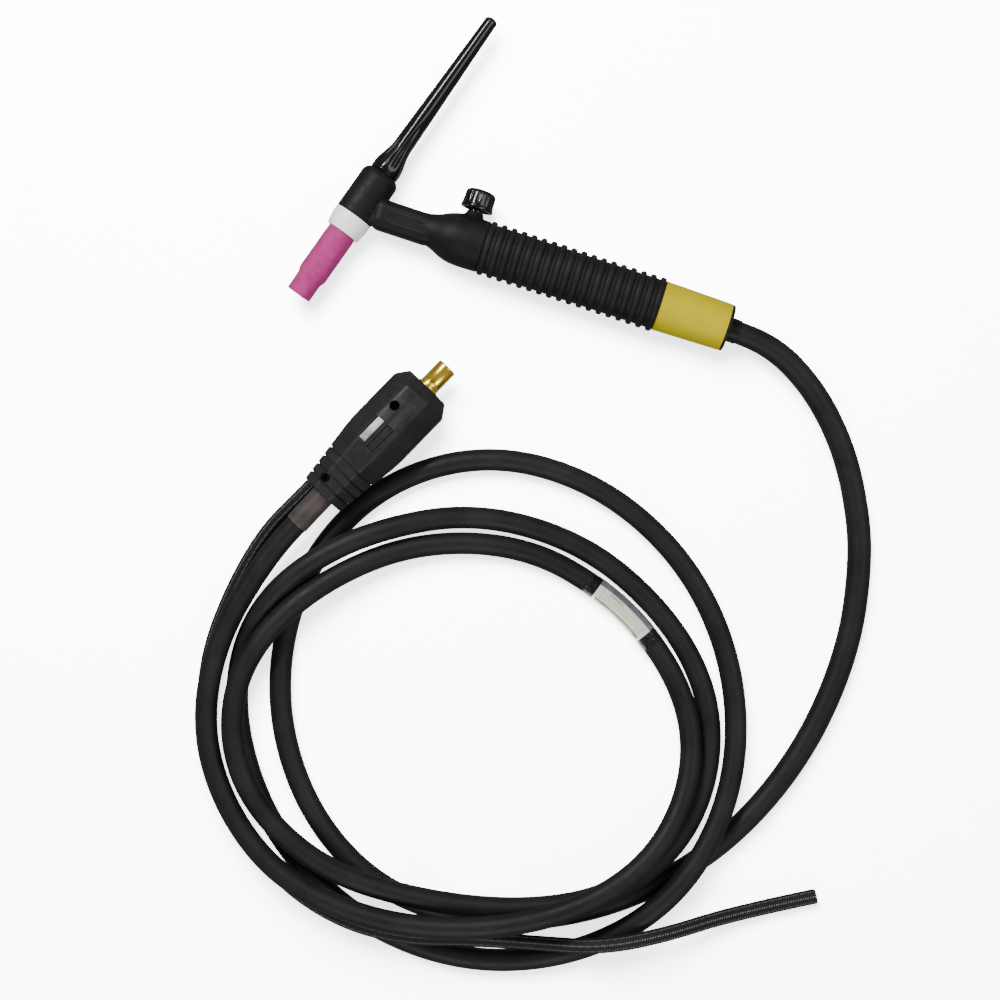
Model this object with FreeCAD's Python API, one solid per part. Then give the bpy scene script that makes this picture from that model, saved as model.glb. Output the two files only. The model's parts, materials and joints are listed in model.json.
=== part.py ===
import FreeCAD, Part
import math
import os
from FreeCAD import Placement, Rotation, Vector

# Air-cooled TIG torch with a hand gas valve, its power cable, its gas hose and its cable plug.
# Millimetres, +Z up. The torch lies on its side on the floor z = 0, with its handle along +X and its
# back cap and valve knob on the +Y side. The origin is the bottom centre of the torch's own box.

# ---- places of the four working axes ----
GRIP_START = Vector(-26.0, -36.0, 17.5)      # front end of the corrugated grip, on the handle axis
HEAD_OFFSET = 81.4                           # from the grip start forward to the head axis
HEAD_ANGLE = 73.0                            # back cap direction, degrees from the handle's +X
VALVE_OFFSET = 11.7                          # from the grip start forward to the valve axis
PLUG_REAR = Vector(-72.6, -214.5, 20.5)      # rear centre of the plug boot
PLUG_ANGLE = 64.0                            # plug pin direction, degrees from +X

# ---- torch head, heights along the head axis (positive towards the back cap) ----
HEAD_RADIUS = 12.5
HEAD_BOTTOM = -6.9
HEAD_TOP = 25.3
CORE_RADIUS = 8.5
CORE_TOP = 20.0
SHANK_RADIUS = 4.75                          # collet body thread, and the hole it screws into
COLLET_BODY_END = -44.0
COLLET_BODY_PROFILE = [
    (SHANK_RADIUS, 7.0), (SHANK_RADIUS, HEAD_BOTTOM), (6.5, HEAD_BOTTOM), (6.5, -30.0), (4.6, -31.0),
    (4.6, -42.0), (3.4, COLLET_BODY_END), (1.35, COLLET_BODY_END), (1.35, -41.0), (2.55, -40.0), (2.55, 7.0),
]
GAS_HOLE_RADIUS = 0.8
GAS_HOLE_HEIGHT = -35.0
SLIT_WIDTH = 0.5
SLIT_LENGTH = 16.0
SLIT_FOOT = -41.0
SHIELD_BOTTOM = -19.7
SHIELD_ROOM = 0.4                            # radial room for the shield under the neck
SHIELD_RADIUS = 11.35
NOZZLE_TOP = -19.8
NOZZLE_TIP = -67.3
NOZZLE_RADIUS = 9.5
NOZZLE_TIP_RADIUS = 8.2
NOZZLE_THREAD_RADIUS = 6.5
NOZZLE_MOUTH_RADIUS = 5.5
CAP_BASE = 25.45
CAP_TIP = 144.2
CAP_STUB_RADIUS = 6.0
CAP_STUB_FOOT = 8.4
CAP_BORE_RADIUS = 1.8
CAP_BORE_END = 140.0
CAP_OUTLINE = [
    (9.2, CAP_BASE), (9.4, 27.0), (9.1, 30.5), (8.4, 34.0), (7.5, 37.0), (6.8, 40.0), (6.4, 44.0),
    (6.2, 52.0), (5.6, 78.0), (4.9, 108.0), (4.3, 138.0), (3.9, 142.5), (3.0, CAP_TIP), (0, CAP_TIP),
]
CAP_SEAL_THICKNESS = 1.7
CAP_SEAL_RECESS = 8.1
ELECTRODE_RADIUS = 1.2
ELECTRODE_TIP = -62.0
ELECTRODE_LENGTH = 150.0
FIT = 0.05                                   # radial running clearance of turning and sliding pieces
CAP_SEAL_RADIUS = CAP_STUB_RADIUS + FIT + CAP_SEAL_THICKNESS / 2

# ---- handle, distances behind the grip start ----
GRIP_LENGTH = 116.0
GRIP_RADIUS = 17.5
GRIP_GROOVE_RADIUS = 15.6
GRIP_RIDGES = 18
GRIP_FIRST_RIDGE = 2.3                       # middle of the first ridge; the last is as far from the end
RIDGE_HALF_WIDTHS = (2.2, 1.35, 0.5)         # at its foot, its shoulder and its top
RIDGE_SHOULDER_DROP = 0.25
GRIP_BORE = 14.4
COLLAR_END = 160.0
COLLAR_RADIUS = 15.9
COLLAR_END_RADIUS = 15.0
HANDLE_END = 162.0
COLLAR_BORE = 12.5
COLLAR_SPIGOT = 12.0
CAP_PLUG_START = 150.0                       # front of the end cap's plug, inside the collar
EDGE_CHAMFER = 0.6

# ---- neck and valve housing ----
NECK_WIDTH = 19.6
NECK_DEPTH = 19.0
NECK_REAR = 33.0                             # ahead of the grip start
NECK_SHIFT = 0.8                             # towards the valve
NECK_FILLET = 3.0
SPIGOT_LENGTH = 14.0
HOUSING_PROFILE = [
    (0, -40.0), (9.6, -40.0), (9.9, -36.5), (11.4, -31.0), (13.9, -26.0), (15.7, -22.0), (16.5, -18.0),
    (16.6, -12.0), (16.4, 0.0), (GRIP_BORE, 0.0), (GRIP_BORE, SPIGOT_LENGTH), (0, SPIGOT_LENGTH),
]
VALVE_BOSS_PROFILE = [(0, 0), (8.6, 0), (8.6, 14.0), (6.6, 17.2), (5.4, 19.4), (0, 19.4)]
BADGE_CENTRE = Vector(-49.6, 1.0, 0)         # from the grip start
BADGE_SIZE = (28.0, 8.0)
BADGE_RIM = 0.7
BADGE_FOOT = 9.0
BADGE_TOP = 9.9
BADGE_FLOOR = 9.5

# ---- tubes, nut and hose tail inside the handle, distances behind the grip start ----
TUBE_RADIUS = 4.0
TUBE_BORE = 2.5
TUBE_BACK = 20.0                             # rear end of the front tube, ahead of the grip start
BLOCK_FRONT = -24.0
BLOCK_REAR = 8.0
BLOCK_RADIUS = 9.0
BLOCK_GAS_WAY = 1.5
TUBE_SOCKET = 5.0
REAR_TUBE_END = 74.0
NUT_FLATS = 17.0
NUT_FRONT = 70.0
NUT_SHOULDER = 84.0
NUT_END = 86.0
TAIL_SHOULDER_RADIUS = 6.0
TAIL_RADIUS = 4.6
TAIL_BARBS = (112.0, 117.0, 122.0)
BARB_RADIUS = 5.6
BARB_ROOT = 4.8
BARB_PITCH = 5.0
TAIL_END = 132.0
FERRULE_BORE = 5.7
FERRULE_CRIMPS = [
    (8.2, 110.0), (8.6, 112.0), (8.2, 118.0), (8.6, 121.0), (8.2, 127.0), (8.6, 130.0), (8.6, 143.0),
    (8.2, 144.0),
]

# ---- gas valve, distances from the handle axis along +Y ----
STEM_RADIUS = 3.0
KNOB_BOTTOM = 20.8
KNOB_TOP = 33.4
KNOB_RADIUS = 8.9
KNOB_SKIRT_RADIUS = 9.9
KNOB_FLUTES = 12
FLUTE_RADIUS = 1.35
FLUTE_REACH = 0.75                           # flute centres stand this far outside the knob
KNOB_HUB_DEPTH = 2.9
BOSS_RADIUS = 6.0
BOSS_TOP = 15.2
GLAND_RADIUS = 4.6
GLAND_TOP = 20.4
VALVE_SEAL_THICKNESS = 1.58
VALVE_SEAL_RADIUS = STEM_RADIUS + FIT + 0.8
SEAT_DEPTH = 2.2
NEEDLE_TIP = -1.6
NEEDLE_SHOULDER = 0.65

# ---- cable, hose and plug ----
CABLE_DIAMETER = 14.0
HOSE_DIAMETER = 9.5
HOSE_BORE_RADIUS = 2.6
HOSE_BORE_DEPTH = 20.0
SLEEVE_RADIUS = 7.75
PIN_RADIUS = 6.5
PLUG_LENGTH = 93.5                           # boot only; the pin stands out of its front
PLUG_PIN_TIP = 111.5
PLUG_BODY_RADIUS = 11.0
PLUG_BODY_END = 88.0
PLUG_NECK_RADIUS = 7.4
PLUG_CABLE_SIDE = 0.6                        # cable axis to the right of the boot axis, seen along the pin
PLUG_CABLE_HEIGHT = 4.2                      # cable axis above the boot axis
PLUG_HOSE_SIDE = -9.4
PLUG_HOSE_HEIGHT = -4.2
CABLE_END = 18.0                             # end of cable and hose inside the boot
BOOT_ROWS = ((0.0, 15.0), (46.0, 20.5), (85.5, 20.5), (PLUG_LENGTH, 14.9))    # distance, half width
PLUG_GROOVES = (6.2, 12.5, 18.5, 25.2)
GROOVE_WIDTH = 1.5
GROOVE_DEPTH = 1.0
GROOVE_FLANK = 0.15
PLUG_FLANGE = (42.0, 50.0)
PLUG_FLANGE_RADIUS = 14.0
BOOT_WALL = 7.0                              # thickness of the rear wall that cable and hose pass
BOOT_CAVITY_RADIUS = 12.6
HOSE_CAVITY_RADIUS = 5.6
HOSE_ROOM = 0.1
CONDUCTOR_RADIUS = 5.0
CONDUCTOR_END = 70.0
GAS_WAY_END = 47.0
PIN_SHOULDER = 0.8                           # the wider neck stands out of the boot by this much
PIN_CHAMFER = 0.6
CLAMP_SCREW_PLACES = (55.0, 63.0)
CLAMP_SCREW_RADIUS = 2.0
CLAMP_SCREW_FOOT = -10.4
CLAMP_SOCKET_DEPTH = 1.8
WINDOW_FLOOR = 18.0
WINDOW_THICKNESS = 1.0
WINDOW_PLACES = {"plug_window_bright": (-5.5, 5.2, 42.0, 60.0),
                 "plug_window_dark": (2.3, 5.6, 40.8, 59.5)}      # side, width, start, end
SET_SCREWS = ((-5.5, 71.0, 10.9), (-5.5, 9.2, 11.5))              # side, along the axis, foot height
SET_SCREW_RADIUS = 3.1
SET_SCREW_HEIGHT = 3.6
SET_SCREW_SOCKET = (1.4, 1.8)                # radius, height of its floor above the foot
SHELL_SCREWS = ((14.5, 78.0), (-14.5, 78.0))                      # side, along the axis
SHELL_SCREW_HEAD = (3.2, -10.6, -8.0)        # radius, low, high
SHELL_SCREW_SHANK = (1.5, -8.0, 8.0)
HOSE_BARBS = (20.0, 24.0, 28.0)
GAS_BARB_BORE = 1.6
GAS_BARB_NECK = 38.0
HOSE_FERRULE = (5.4, 9.0)                    # radius, front
BEYOND = 25.0                                # clear of the boot on every side

# Route of the cable from the handle to the plug: it falls to the floor, goes round the loop three
# times and passes over itself. Each turn has about twelve points.
CABLE_ROUTE = [
    (106, -36, 17.5), (132, -36, 17.5), (167, -38, 15.2), (198, -54, 10.5), (223, -77, 8), (243, -105, 7),
    (262, -146, 7), (273, -209, 7), (264, -283, 7), (233, -352, 7), (181, -406, 7), (114, -439, 7),
    (41, -443, 7), (-22, -408, 7), (-64, -345, 7), (-73, -269, 7), (-45, -200, 7), (15, -157, 7),
    (89, -153, 7), (159, -183, 7), (209, -239, 8), (231, -311, 16), (217, -384, 24.5), (170, -441, 9),
    (101, -469, 7), (25, -463, 7), (-40, -426, 7), (-81, -372, 7), (-94, -319, 9), (-80, -272, 21.5),
    (-41, -229, 21.5), (20, -195, 8), (92, -192, 7), (155, -218, 7), (197, -257, 7), (214, -306, 8),
    (208, -356, 13.5), (177, -397, 19.5), (129, -422, 21.5), (68, -436, 22), (2, -438, 22), (-54, -413, 22),
    (-83, -374, 22), (-88, -326, 22.5), (-63, -273, 23), (-12, -226, 9), (57, -205, 7), (120, -218, 7),
    (167, -247, 8), (195, -283, 14), (203, -327, 21), (191, -372, 30), (156, -411, 36), (103, -441, 34.5),
    (41, -456, 32), (-20, -451, 27), (-67, -423, 19), (-99, -379, 17.5), (-108, -323, 17.5),
    (-95, -264, 20), (-75.6, -222, 24.7), (-64.3, -198.8, 24.7),
]

# Route of the gas hose from the plug along the outside of the loop to its open end.
HOSE_ROUTE = [
    (-73.2, -194.2, 16.3), (-85, -218.5, 16.3), (-101, -248, 7), (-110, -289, 4.75), (-112, -337, 4.75),
    (-98, -384, 4.75), (-66, -427, 5), (-22, -454, 14), (21, -464, 22), (63, -462, 20), (104, -451, 10),
    (144, -440, 14), (179, -428, 28), (214, -409, 27.5), (256, -385, 4.75), (302, -358.5, 4.75),
]

LABEL_PLACE = (2896.0, 2955.0)               # clear sleeve, measured along the cable from its start
LABEL_PRINT = (2903.0, 2945.0)
EXIT_SLEEVE_PLACE = (18.0, 36.0)
LABEL_THICKNESS = 0.25
FILM_THICKNESS = 0.35
SHRINK_LENGTH = 24.0                         # outside the boot
SHRINK_INSIDE = 4.0


def unit(angle):
    """Direction in the floor plane at an angle from +X."""
    return Vector(math.cos(math.radians(angle)), math.sin(math.radians(angle)), 0)


def frame(origin, direction):
    """Placement whose local Z is direction and whose local Y is the floor's normal."""
    side = Vector(0, 0, 1).cross(direction)
    turn = Rotation(side, Vector(0, 0, 1), direction, "ZXY")
    return Placement(origin, turn)


HEAD = frame(GRIP_START - Vector(HEAD_OFFSET, 0, 0), unit(HEAD_ANGLE))
HANDLE = frame(GRIP_START, Vector(1, 0, 0))
VALVE = frame(GRIP_START - Vector(VALVE_OFFSET, 0, 0), Vector(0, 1, 0))
PLUG = frame(PLUG_REAR, unit(PLUG_ANGLE))


def place(shape, placement):
    """Move a shape from its local frame into the part's frame."""
    moved = shape.copy()
    moved.Placement = placement.multiply(moved.Placement)
    return moved


def turned(profile):
    """Solid of revolution about local Z from (radius, height) points."""
    points = [Vector(r, 0, h) for r, h in profile]
    outline = Part.makePolygon(points + [points[0]])
    return Part.Face(outline).revolve(Vector(0, 0, 0), Vector(0, 0, 1), 360)


def rod(radius, low, high, x=0.0, y=0.0):
    """Cylinder along local Z."""
    return Part.makeCylinder(radius, high - low, Vector(x, y, low))


def tube(outer, inner, low, high, x=0.0, y=0.0):
    """Hollow cylinder along local Z."""
    return rod(outer, low, high, x, y).cut(rod(inner, low - 1, high + 1, x, y))


def fused(first, *others):
    """One solid from several."""
    return first.fuse(list(others)).removeSplitter()


def hexagon(across_flats, low, high):
    """Hexagonal bar along local Z."""
    corner = across_flats / math.sqrt(3)
    points = [Vector(corner * math.cos(math.radians(60 * i)), corner * math.sin(math.radians(60 * i)), low)
              for i in range(7)]
    return Part.Face(Part.makePolygon(points)).extrude(Vector(0, 0, high - low))


def stadium(length, width, low, high):
    """Straight bar with round ends, long side along local X."""
    half = (length - width) / 2
    bar = Part.makeBox(2 * half, width, high - low, Vector(-half, -width / 2, low))
    return fused(bar, rod(width / 2, low, high, half), rod(width / 2, low, high, -half))


# ---- cords ----

def cord_segments(route):
    """Straight runs joined by tangent arcs: (kind, edge, length) along the route."""
    points = [Vector(*p) for p in route]
    segments = []
    radii = []
    start = points[0]
    for before, here, after in zip(points, points[1:], points[2:]):
        back = before - here
        ahead = after - here
        shorter = min(back.Length, ahead.Length)
        back.normalize()
        ahead.normalize()
        half_turn = (math.pi - back.getAngle(ahead)) / 2
        reach = 0.45 * shorter
        radius = reach / math.tan(half_turn)
        first = here + back * reach
        last = here + ahead * reach
        inward = back + ahead
        inward.normalize()
        middle = here + inward * (radius / math.cos(half_turn) - radius)
        segments.append((start, None, first, (first - start).Length))
        segments.append((first, middle, last, 2 * half_turn * radius))
        radii.append(radius)
        start = last
    segments.append((start, None, points[-1], (points[-1] - start).Length))
    return segments, radii


def cord_wire(segments, low=None, high=None):
    """Wire along the segments, or along the part of them between two distances."""
    edges = []
    walked = 0.0
    for first, middle, last, length in segments:
        if middle is None:
            edge = Part.LineSegment(first, last).toShape()
        else:
            edge = Part.Arc(first, middle, last).toShape()
        start = 0.0 if low is None else max(0.0, low - walked)
        end = length if high is None else min(length, high - walked)
        walked += length
        if end - start < 0.01:
            continue
        span = edge.LastParameter - edge.FirstParameter
        curve = edge.Curve
        edges.append(curve.toShape(edge.FirstParameter + span * start / length,
                                   edge.FirstParameter + span * end / length))
    return Part.Wire(edges)


def swept(wire, radius):
    """Round solid of one radius along a wire."""
    edge = wire.OrderedEdges[0]
    section = Part.Wire(Part.makeCircle(radius, edge.valueAt(edge.FirstParameter),
                                        edge.tangentAt(edge.FirstParameter)))
    return wire.makePipeShell([section], True, False)


def cord(name, route, diameter):
    """Solid cord with its bend radii and volume printed, and its segments."""
    segments, radii = cord_segments(route)
    solid = swept(cord_wire(segments), diameter / 2)
    length = sum(s[3] for s in segments)
    ideal = math.pi * diameter ** 2 / 4 * length
    print(name, "length %.1f" % length, "tightest radius %.0f" % min(radii),
          "volume ratio %.4f" % (solid.Volume / ideal), "valid", solid.isValid())
    print("   radii", " ".join("%.0f" % r for r in radii))
    return solid, segments


def sleeve(segments, low, high, outer, inner):
    """Thin tube round a cord between two distances along it."""
    wire = cord_wire(segments, low, high)
    return swept(wire, outer).cut(swept(wire, inner))


# ---- torch head ----

def make_head_core():
    """Brass head block, bored for the collet body below and the back cap above."""
    block = rod(CORE_RADIUS, HEAD_BOTTOM, CORE_TOP)
    block = block.cut(rod(SHANK_RADIUS, HEAD_BOTTOM - 1, 7.0))
    block = block.cut(rod(CAP_STUB_RADIUS + FIT, 7.0, CORE_TOP + 1))
    return place(block, HEAD).cut(place(rod(TUBE_RADIUS, -HEAD_OFFSET, -TUBE_BACK), HANDLE))


def make_power_tube():
    """Copper tube that carries current and gas from the valve block to the head."""
    ring = place(tube(TUBE_RADIUS, TUBE_BORE, -HEAD_OFFSET, -TUBE_BACK), HANDLE)
    return ring.cut(place(rod(CORE_RADIUS - 2.0, HEAD_BOTTOM, CORE_TOP), HEAD))


def make_collet_body():
    """Copper collet body with four gas holes and the thread that holds the nozzle."""
    body = turned(COLLET_BODY_PROFILE)
    for angle in (45, 135, 225, 315):
        hole = rod(GAS_HOLE_RADIUS, 2.0, NOZZLE_THREAD_RADIUS)
        hole.rotate(Vector(0, 0, 0), Vector(0, 1, 0), 90)
        hole.rotate(Vector(0, 0, 0), Vector(0, 0, 1), angle)
        hole.translate(Vector(0, 0, GAS_HOLE_HEIGHT))
        body = body.cut(hole)
    return place(body, HEAD)


def make_collet():
    """Copper collet with four slits at its gripping end."""
    body = turned([(3.6, 8.2), (3.6, 7.0), (2.5, 7.0), (2.5, -39.5), (1.9, -40.5),
                   (ELECTRODE_RADIUS + FIT, -40.5), (ELECTRODE_RADIUS + FIT, 8.2)])
    slit = Part.makeBox(SLIT_WIDTH, 8.0, SLIT_LENGTH, Vector(-SLIT_WIDTH / 2, -4.0, SLIT_FOOT))
    across = slit.copy()
    across.rotate(Vector(0, 0, 0), Vector(0, 0, 1), 90)
    return place(body.cut(slit).cut(across), HEAD)


def make_electrode():
    """Tungsten rod with a ground point, drawn back inside the nozzle."""
    top = ELECTRODE_TIP + ELECTRODE_LENGTH
    body = turned([(0, ELECTRODE_TIP), (0.2, ELECTRODE_TIP), (ELECTRODE_RADIUS, ELECTRODE_TIP + 4.5),
                   (ELECTRODE_RADIUS, top), (0, top)])
    return place(body, HEAD)


def make_heat_shield():
    """White ring between the head and the nozzle, tapering towards the nozzle."""
    low = SHIELD_BOTTOM
    bore = NOZZLE_THREAD_RADIUS + 2 * FIT
    top = HEAD_BOTTOM - FIT
    body = turned([(bore, low), (SHIELD_RADIUS - 0.5, low), (SHIELD_RADIUS, low + 0.8),
                   (HEAD_RADIUS - 0.1, low + 6.5), (HEAD_RADIUS, top), (bore, top)])
    return place(body, HEAD)


def make_gas_nozzle():
    """Alumina nozzle: lipped top, straight barrel, short step and narrower mouth."""
    top = NOZZLE_TOP
    wide = NOZZLE_RADIUS
    narrow = NOZZLE_TIP_RADIUS
    body = turned([(NOZZLE_THREAD_RADIUS + FIT, top), (wide - 1.0, top), (wide - 0.9, top - 1.4),
                   (wide, top - 1.9), (wide, -52.0), (narrow, -55.3), (narrow, NOZZLE_TIP + 0.4),
                   (narrow - 0.4, NOZZLE_TIP), (NOZZLE_MOUTH_RADIUS, NOZZLE_TIP),
                   (NOZZLE_MOUTH_RADIUS, -55.0), (6.6, -51.0), (6.6, -32.0),
                   (NOZZLE_THREAD_RADIUS + FIT, -31.5)])
    return place(body, HEAD)


def make_back_cap():
    """Long back cap: threaded stub, domed base, slender hollow stem."""
    stub = [(CAP_BORE_RADIUS, CAP_STUB_FOOT), (CAP_STUB_RADIUS, CAP_STUB_FOOT), (CAP_STUB_RADIUS, CAP_BASE)]
    return place(turned(stub + CAP_OUTLINE + [(0, CAP_BORE_END), (CAP_BORE_RADIUS, CAP_BORE_END)]), HEAD)


def ring_seal(centre_radius, thickness, height):
    """O-ring about local Z."""
    return Part.makeTorus(centre_radius, thickness / 2, Vector(0, 0, height), Vector(0, 0, 1))


def make_back_cap_oring():
    """Seal under the back cap."""
    return place(ring_seal(CAP_SEAL_RADIUS, CAP_SEAL_THICKNESS, HEAD_TOP - 1.0), HEAD)


# ---- neck, valve and handle ----

def make_torch_insulation():
    """Black moulding over the head, neck and valve block, with a spigot for the grip."""
    head = turned([(0, HEAD_BOTTOM), (HEAD_RADIUS, HEAD_BOTTOM), (HEAD_RADIUS, HEAD_TOP - 3.6),
                   (HEAD_RADIUS - 0.9, HEAD_TOP - 1.4), (HEAD_RADIUS - 2.2, HEAD_TOP - 0.2),
                   (HEAD_RADIUS - 3.0, HEAD_TOP), (0, HEAD_TOP)])
    neck = Part.makeBox(NECK_WIDTH, NECK_DEPTH, HEAD_OFFSET - NECK_REAR,
                        Vector(-NECK_WIDTH / 2, -NECK_DEPTH / 2, -HEAD_OFFSET))
    neck = neck.makeFillet(NECK_FILLET, [e for e in neck.Edges if abs(e.tangentAt(e.FirstParameter).z) > 0.9])
    neck.translate(Vector(NECK_SHIFT, 0, 0))
    length, width = BADGE_SIZE
    badge = stadium(length, width, BADGE_FOOT, BADGE_TOP)
    badge = badge.cut(stadium(length - 2 * BADGE_RIM, width - 2 * BADGE_RIM, BADGE_FLOOR, BADGE_TOP + 1))
    badge.translate(GRIP_START + BADGE_CENTRE)
    body = fused(place(head, HEAD), place(neck, HANDLE), place(turned(HOUSING_PROFILE), HANDLE),
                 place(turned(VALVE_BOSS_PROFILE), VALVE), badge)
    body = body.cut(place(rod(HEAD_RADIUS + SHIELD_ROOM, SHIELD_BOTTOM, HEAD_BOTTOM), HEAD))
    body = body.cut(place(rod(CORE_RADIUS, HEAD_BOTTOM - 1, CORE_TOP), HEAD))
    body = body.cut(place(rod(CAP_STUB_RADIUS + 0.5, CORE_TOP, HEAD_TOP + 1), HEAD))
    body = body.cut(place(rod(CAP_SEAL_RECESS, HEAD_TOP - 2.0, HEAD_TOP + 1), HEAD))
    body = body.cut(place(rod(TUBE_RADIUS, -HEAD_OFFSET, BLOCK_FRONT), HANDLE))
    body = body.cut(place(rod(BLOCK_RADIUS, BLOCK_FRONT, SPIGOT_LENGTH + 1), HANDLE))
    body = body.cut(place(rod(BOSS_RADIUS, 0, BOSS_TOP), VALVE))
    return body.cut(place(rod(GLAND_RADIUS, BOSS_TOP - 0.1, GLAND_TOP), VALVE))


def make_valve_block():
    """Brass block where the needle opens and shuts the gas way."""
    block = fused(place(rod(BLOCK_RADIUS, BLOCK_FRONT, BLOCK_REAR), HANDLE),
                  place(rod(BOSS_RADIUS, 0, BOSS_TOP), VALVE))
    block = block.cut(place(rod(TUBE_RADIUS, BLOCK_FRONT - 1, -TUBE_BACK), HANDLE))
    block = block.cut(place(rod(BLOCK_GAS_WAY, BLOCK_FRONT, BLOCK_REAR + 1), HANDLE))
    block = block.cut(place(rod(TUBE_RADIUS, BLOCK_REAR - TUBE_SOCKET, BLOCK_REAR + 1), HANDLE))
    block = block.cut(place(rod(STEM_RADIUS + FIT, 0, BOSS_TOP + 1), VALVE))
    block = block.cut(place(turned([(0, -SEAT_DEPTH), (STEM_RADIUS + FIT, 0.1), (0, 0.1)]), VALVE))
    recess = rod(VALVE_SEAL_RADIUS + 0.8, BOSS_TOP - VALVE_SEAL_THICKNESS, BOSS_TOP + 1)
    return block.cut(place(recess, VALVE))


def make_valve_stem():
    """Needle and stem under the knob."""
    top = KNOB_TOP - KNOB_HUB_DEPTH - 0.1
    body = turned([(0, NEEDLE_TIP), (STEM_RADIUS, NEEDLE_SHOULDER), (STEM_RADIUS, top), (0, top)])
    return place(body, VALVE)


def make_valve_stem_oring():
    """Seal round the valve stem."""
    height = BOSS_TOP - VALVE_SEAL_THICKNESS / 2
    return place(ring_seal(VALVE_SEAL_RADIUS, VALVE_SEAL_THICKNESS, height), VALVE)


def make_valve_gland_nut():
    """Nut that keeps the stem seal in its block."""
    return place(tube(GLAND_RADIUS, STEM_RADIUS + FIT, BOSS_TOP, GLAND_TOP), VALVE)


def make_valve_knob():
    """Fluted knob with a skirt, hollow below."""
    body = turned([(STEM_RADIUS + FIT, KNOB_BOTTOM + 1.0), (5.2, KNOB_BOTTOM + 1.0), (5.6, KNOB_BOTTOM + 3.6),
                   (8.2, KNOB_BOTTOM + 3.6), (8.4, KNOB_BOTTOM), (KNOB_SKIRT_RADIUS, KNOB_BOTTOM),
                   (KNOB_SKIRT_RADIUS, KNOB_BOTTOM + 2.0), (KNOB_RADIUS, KNOB_BOTTOM + 3.0),
                   (KNOB_RADIUS - 0.2, KNOB_TOP - 1.4), (KNOB_RADIUS - 1.8, KNOB_TOP), (0, KNOB_TOP),
                   (0, KNOB_TOP - KNOB_HUB_DEPTH), (STEM_RADIUS + FIT, KNOB_TOP - KNOB_HUB_DEPTH)])
    for i in range(KNOB_FLUTES):
        angle = math.radians(360.0 * i / KNOB_FLUTES)
        reach = KNOB_RADIUS + FLUTE_REACH
        flute = rod(FLUTE_RADIUS, KNOB_BOTTOM + 2.6, KNOB_TOP + 1)
        flute.translate(Vector(reach * math.cos(angle), reach * math.sin(angle), 0))
        body = body.cut(flute)
    return place(body, VALVE)


def make_grip_handle():
    """Hollow corrugated grip."""
    pitch = (GRIP_LENGTH - 2 * GRIP_FIRST_RIDGE) / (GRIP_RIDGES - 1)
    foot, shoulder, top = RIDGE_HALF_WIDTHS
    slope = GRIP_RADIUS - RIDGE_SHOULDER_DROP
    profile = [(GRIP_BORE, GRIP_LENGTH), (GRIP_BORE, 0.0), (GRIP_GROOVE_RADIUS, 0.0)]
    for i in range(GRIP_RIDGES):
        middle = GRIP_FIRST_RIDGE + i * pitch
        profile += [(GRIP_GROOVE_RADIUS, middle - foot), (slope, middle - shoulder),
                    (GRIP_RADIUS, middle - top), (GRIP_RADIUS, middle + top),
                    (slope, middle + shoulder), (GRIP_GROOVE_RADIUS, middle + foot)]
    profile.append((GRIP_GROOVE_RADIUS, GRIP_LENGTH))
    return place(turned(profile), HANDLE)


def make_collar_ring():
    """Yellow end collar with a spigot that plugs into the grip."""
    spigot = GRIP_LENGTH - COLLAR_SPIGOT
    body = turned([(COLLAR_BORE, spigot), (GRIP_BORE, spigot),
                   (GRIP_BORE, GRIP_LENGTH), (COLLAR_RADIUS, GRIP_LENGTH), (COLLAR_END_RADIUS, COLLAR_END),
                   (COLLAR_BORE, COLLAR_END)])
    return place(body, HANDLE)


def make_handle_end_cap(segments):
    """Thin black rim and the plug behind it that centres the cable's sleeve."""
    body = turned([(0, CAP_PLUG_START), (COLLAR_BORE, CAP_PLUG_START), (COLLAR_BORE, COLLAR_END),
                   (COLLAR_END_RADIUS, COLLAR_END), (COLLAR_END_RADIUS, HANDLE_END - EDGE_CHAMFER),
                   (COLLAR_END_RADIUS - EDGE_CHAMFER, HANDLE_END), (0, HANDLE_END)])
    return place(body, HANDLE).cut(swept(cord_wire(segments, 10.0, 40.0), SLEEVE_RADIUS))


# ---- current and gas connection inside the handle ----

def make_rear_tube():
    """Copper tail tube behind the valve block."""
    return place(tube(TUBE_RADIUS, TUBE_BORE, BLOCK_REAR - TUBE_SOCKET, REAR_TUBE_END), HANDLE)


def make_cable_nut():
    """Hexagonal union nut between the tail tube and the cable's hose tail."""
    body = hexagon(NUT_FLATS, NUT_FRONT, NUT_END)
    body = body.cut(rod(TUBE_RADIUS, NUT_FRONT - 1, REAR_TUBE_END))
    body = body.cut(rod(TAIL_SHOULDER_RADIUS, REAR_TUBE_END, NUT_SHOULDER))
    return place(body.cut(rod(TAIL_RADIUS, NUT_SHOULDER, NUT_END + 1)), HANDLE)


def make_hose_tail():
    """Brass tail with a shoulder that the nut pulls in, and barbs for the cable hose."""
    profile = [(TUBE_BORE, REAR_TUBE_END), (TAIL_SHOULDER_RADIUS, REAR_TUBE_END),
               (TAIL_SHOULDER_RADIUS, NUT_SHOULDER), (TAIL_RADIUS, NUT_SHOULDER),
               (TAIL_RADIUS, TAIL_BARBS[0])]
    for start in TAIL_BARBS:
        profile += [(BARB_RADIUS, start + 0.4), (BARB_ROOT, start + BARB_PITCH)]
    profile += [(BARB_ROOT, TAIL_END), (TUBE_BORE, TAIL_END)]
    return place(turned(profile), HANDLE)


def make_cable_ferrule():
    """Crimped ferrule that clamps the cable on its tail."""
    front = FERRULE_CRIMPS[0][1]
    end = FERRULE_CRIMPS[-1][1]
    inside = [(CABLE_DIAMETER / 2, end), (CABLE_DIAMETER / 2, TAIL_END), (FERRULE_BORE, TAIL_END)]
    return place(turned([(FERRULE_BORE, front)] + FERRULE_CRIMPS + inside), HANDLE)


# ---- plug ----

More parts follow.
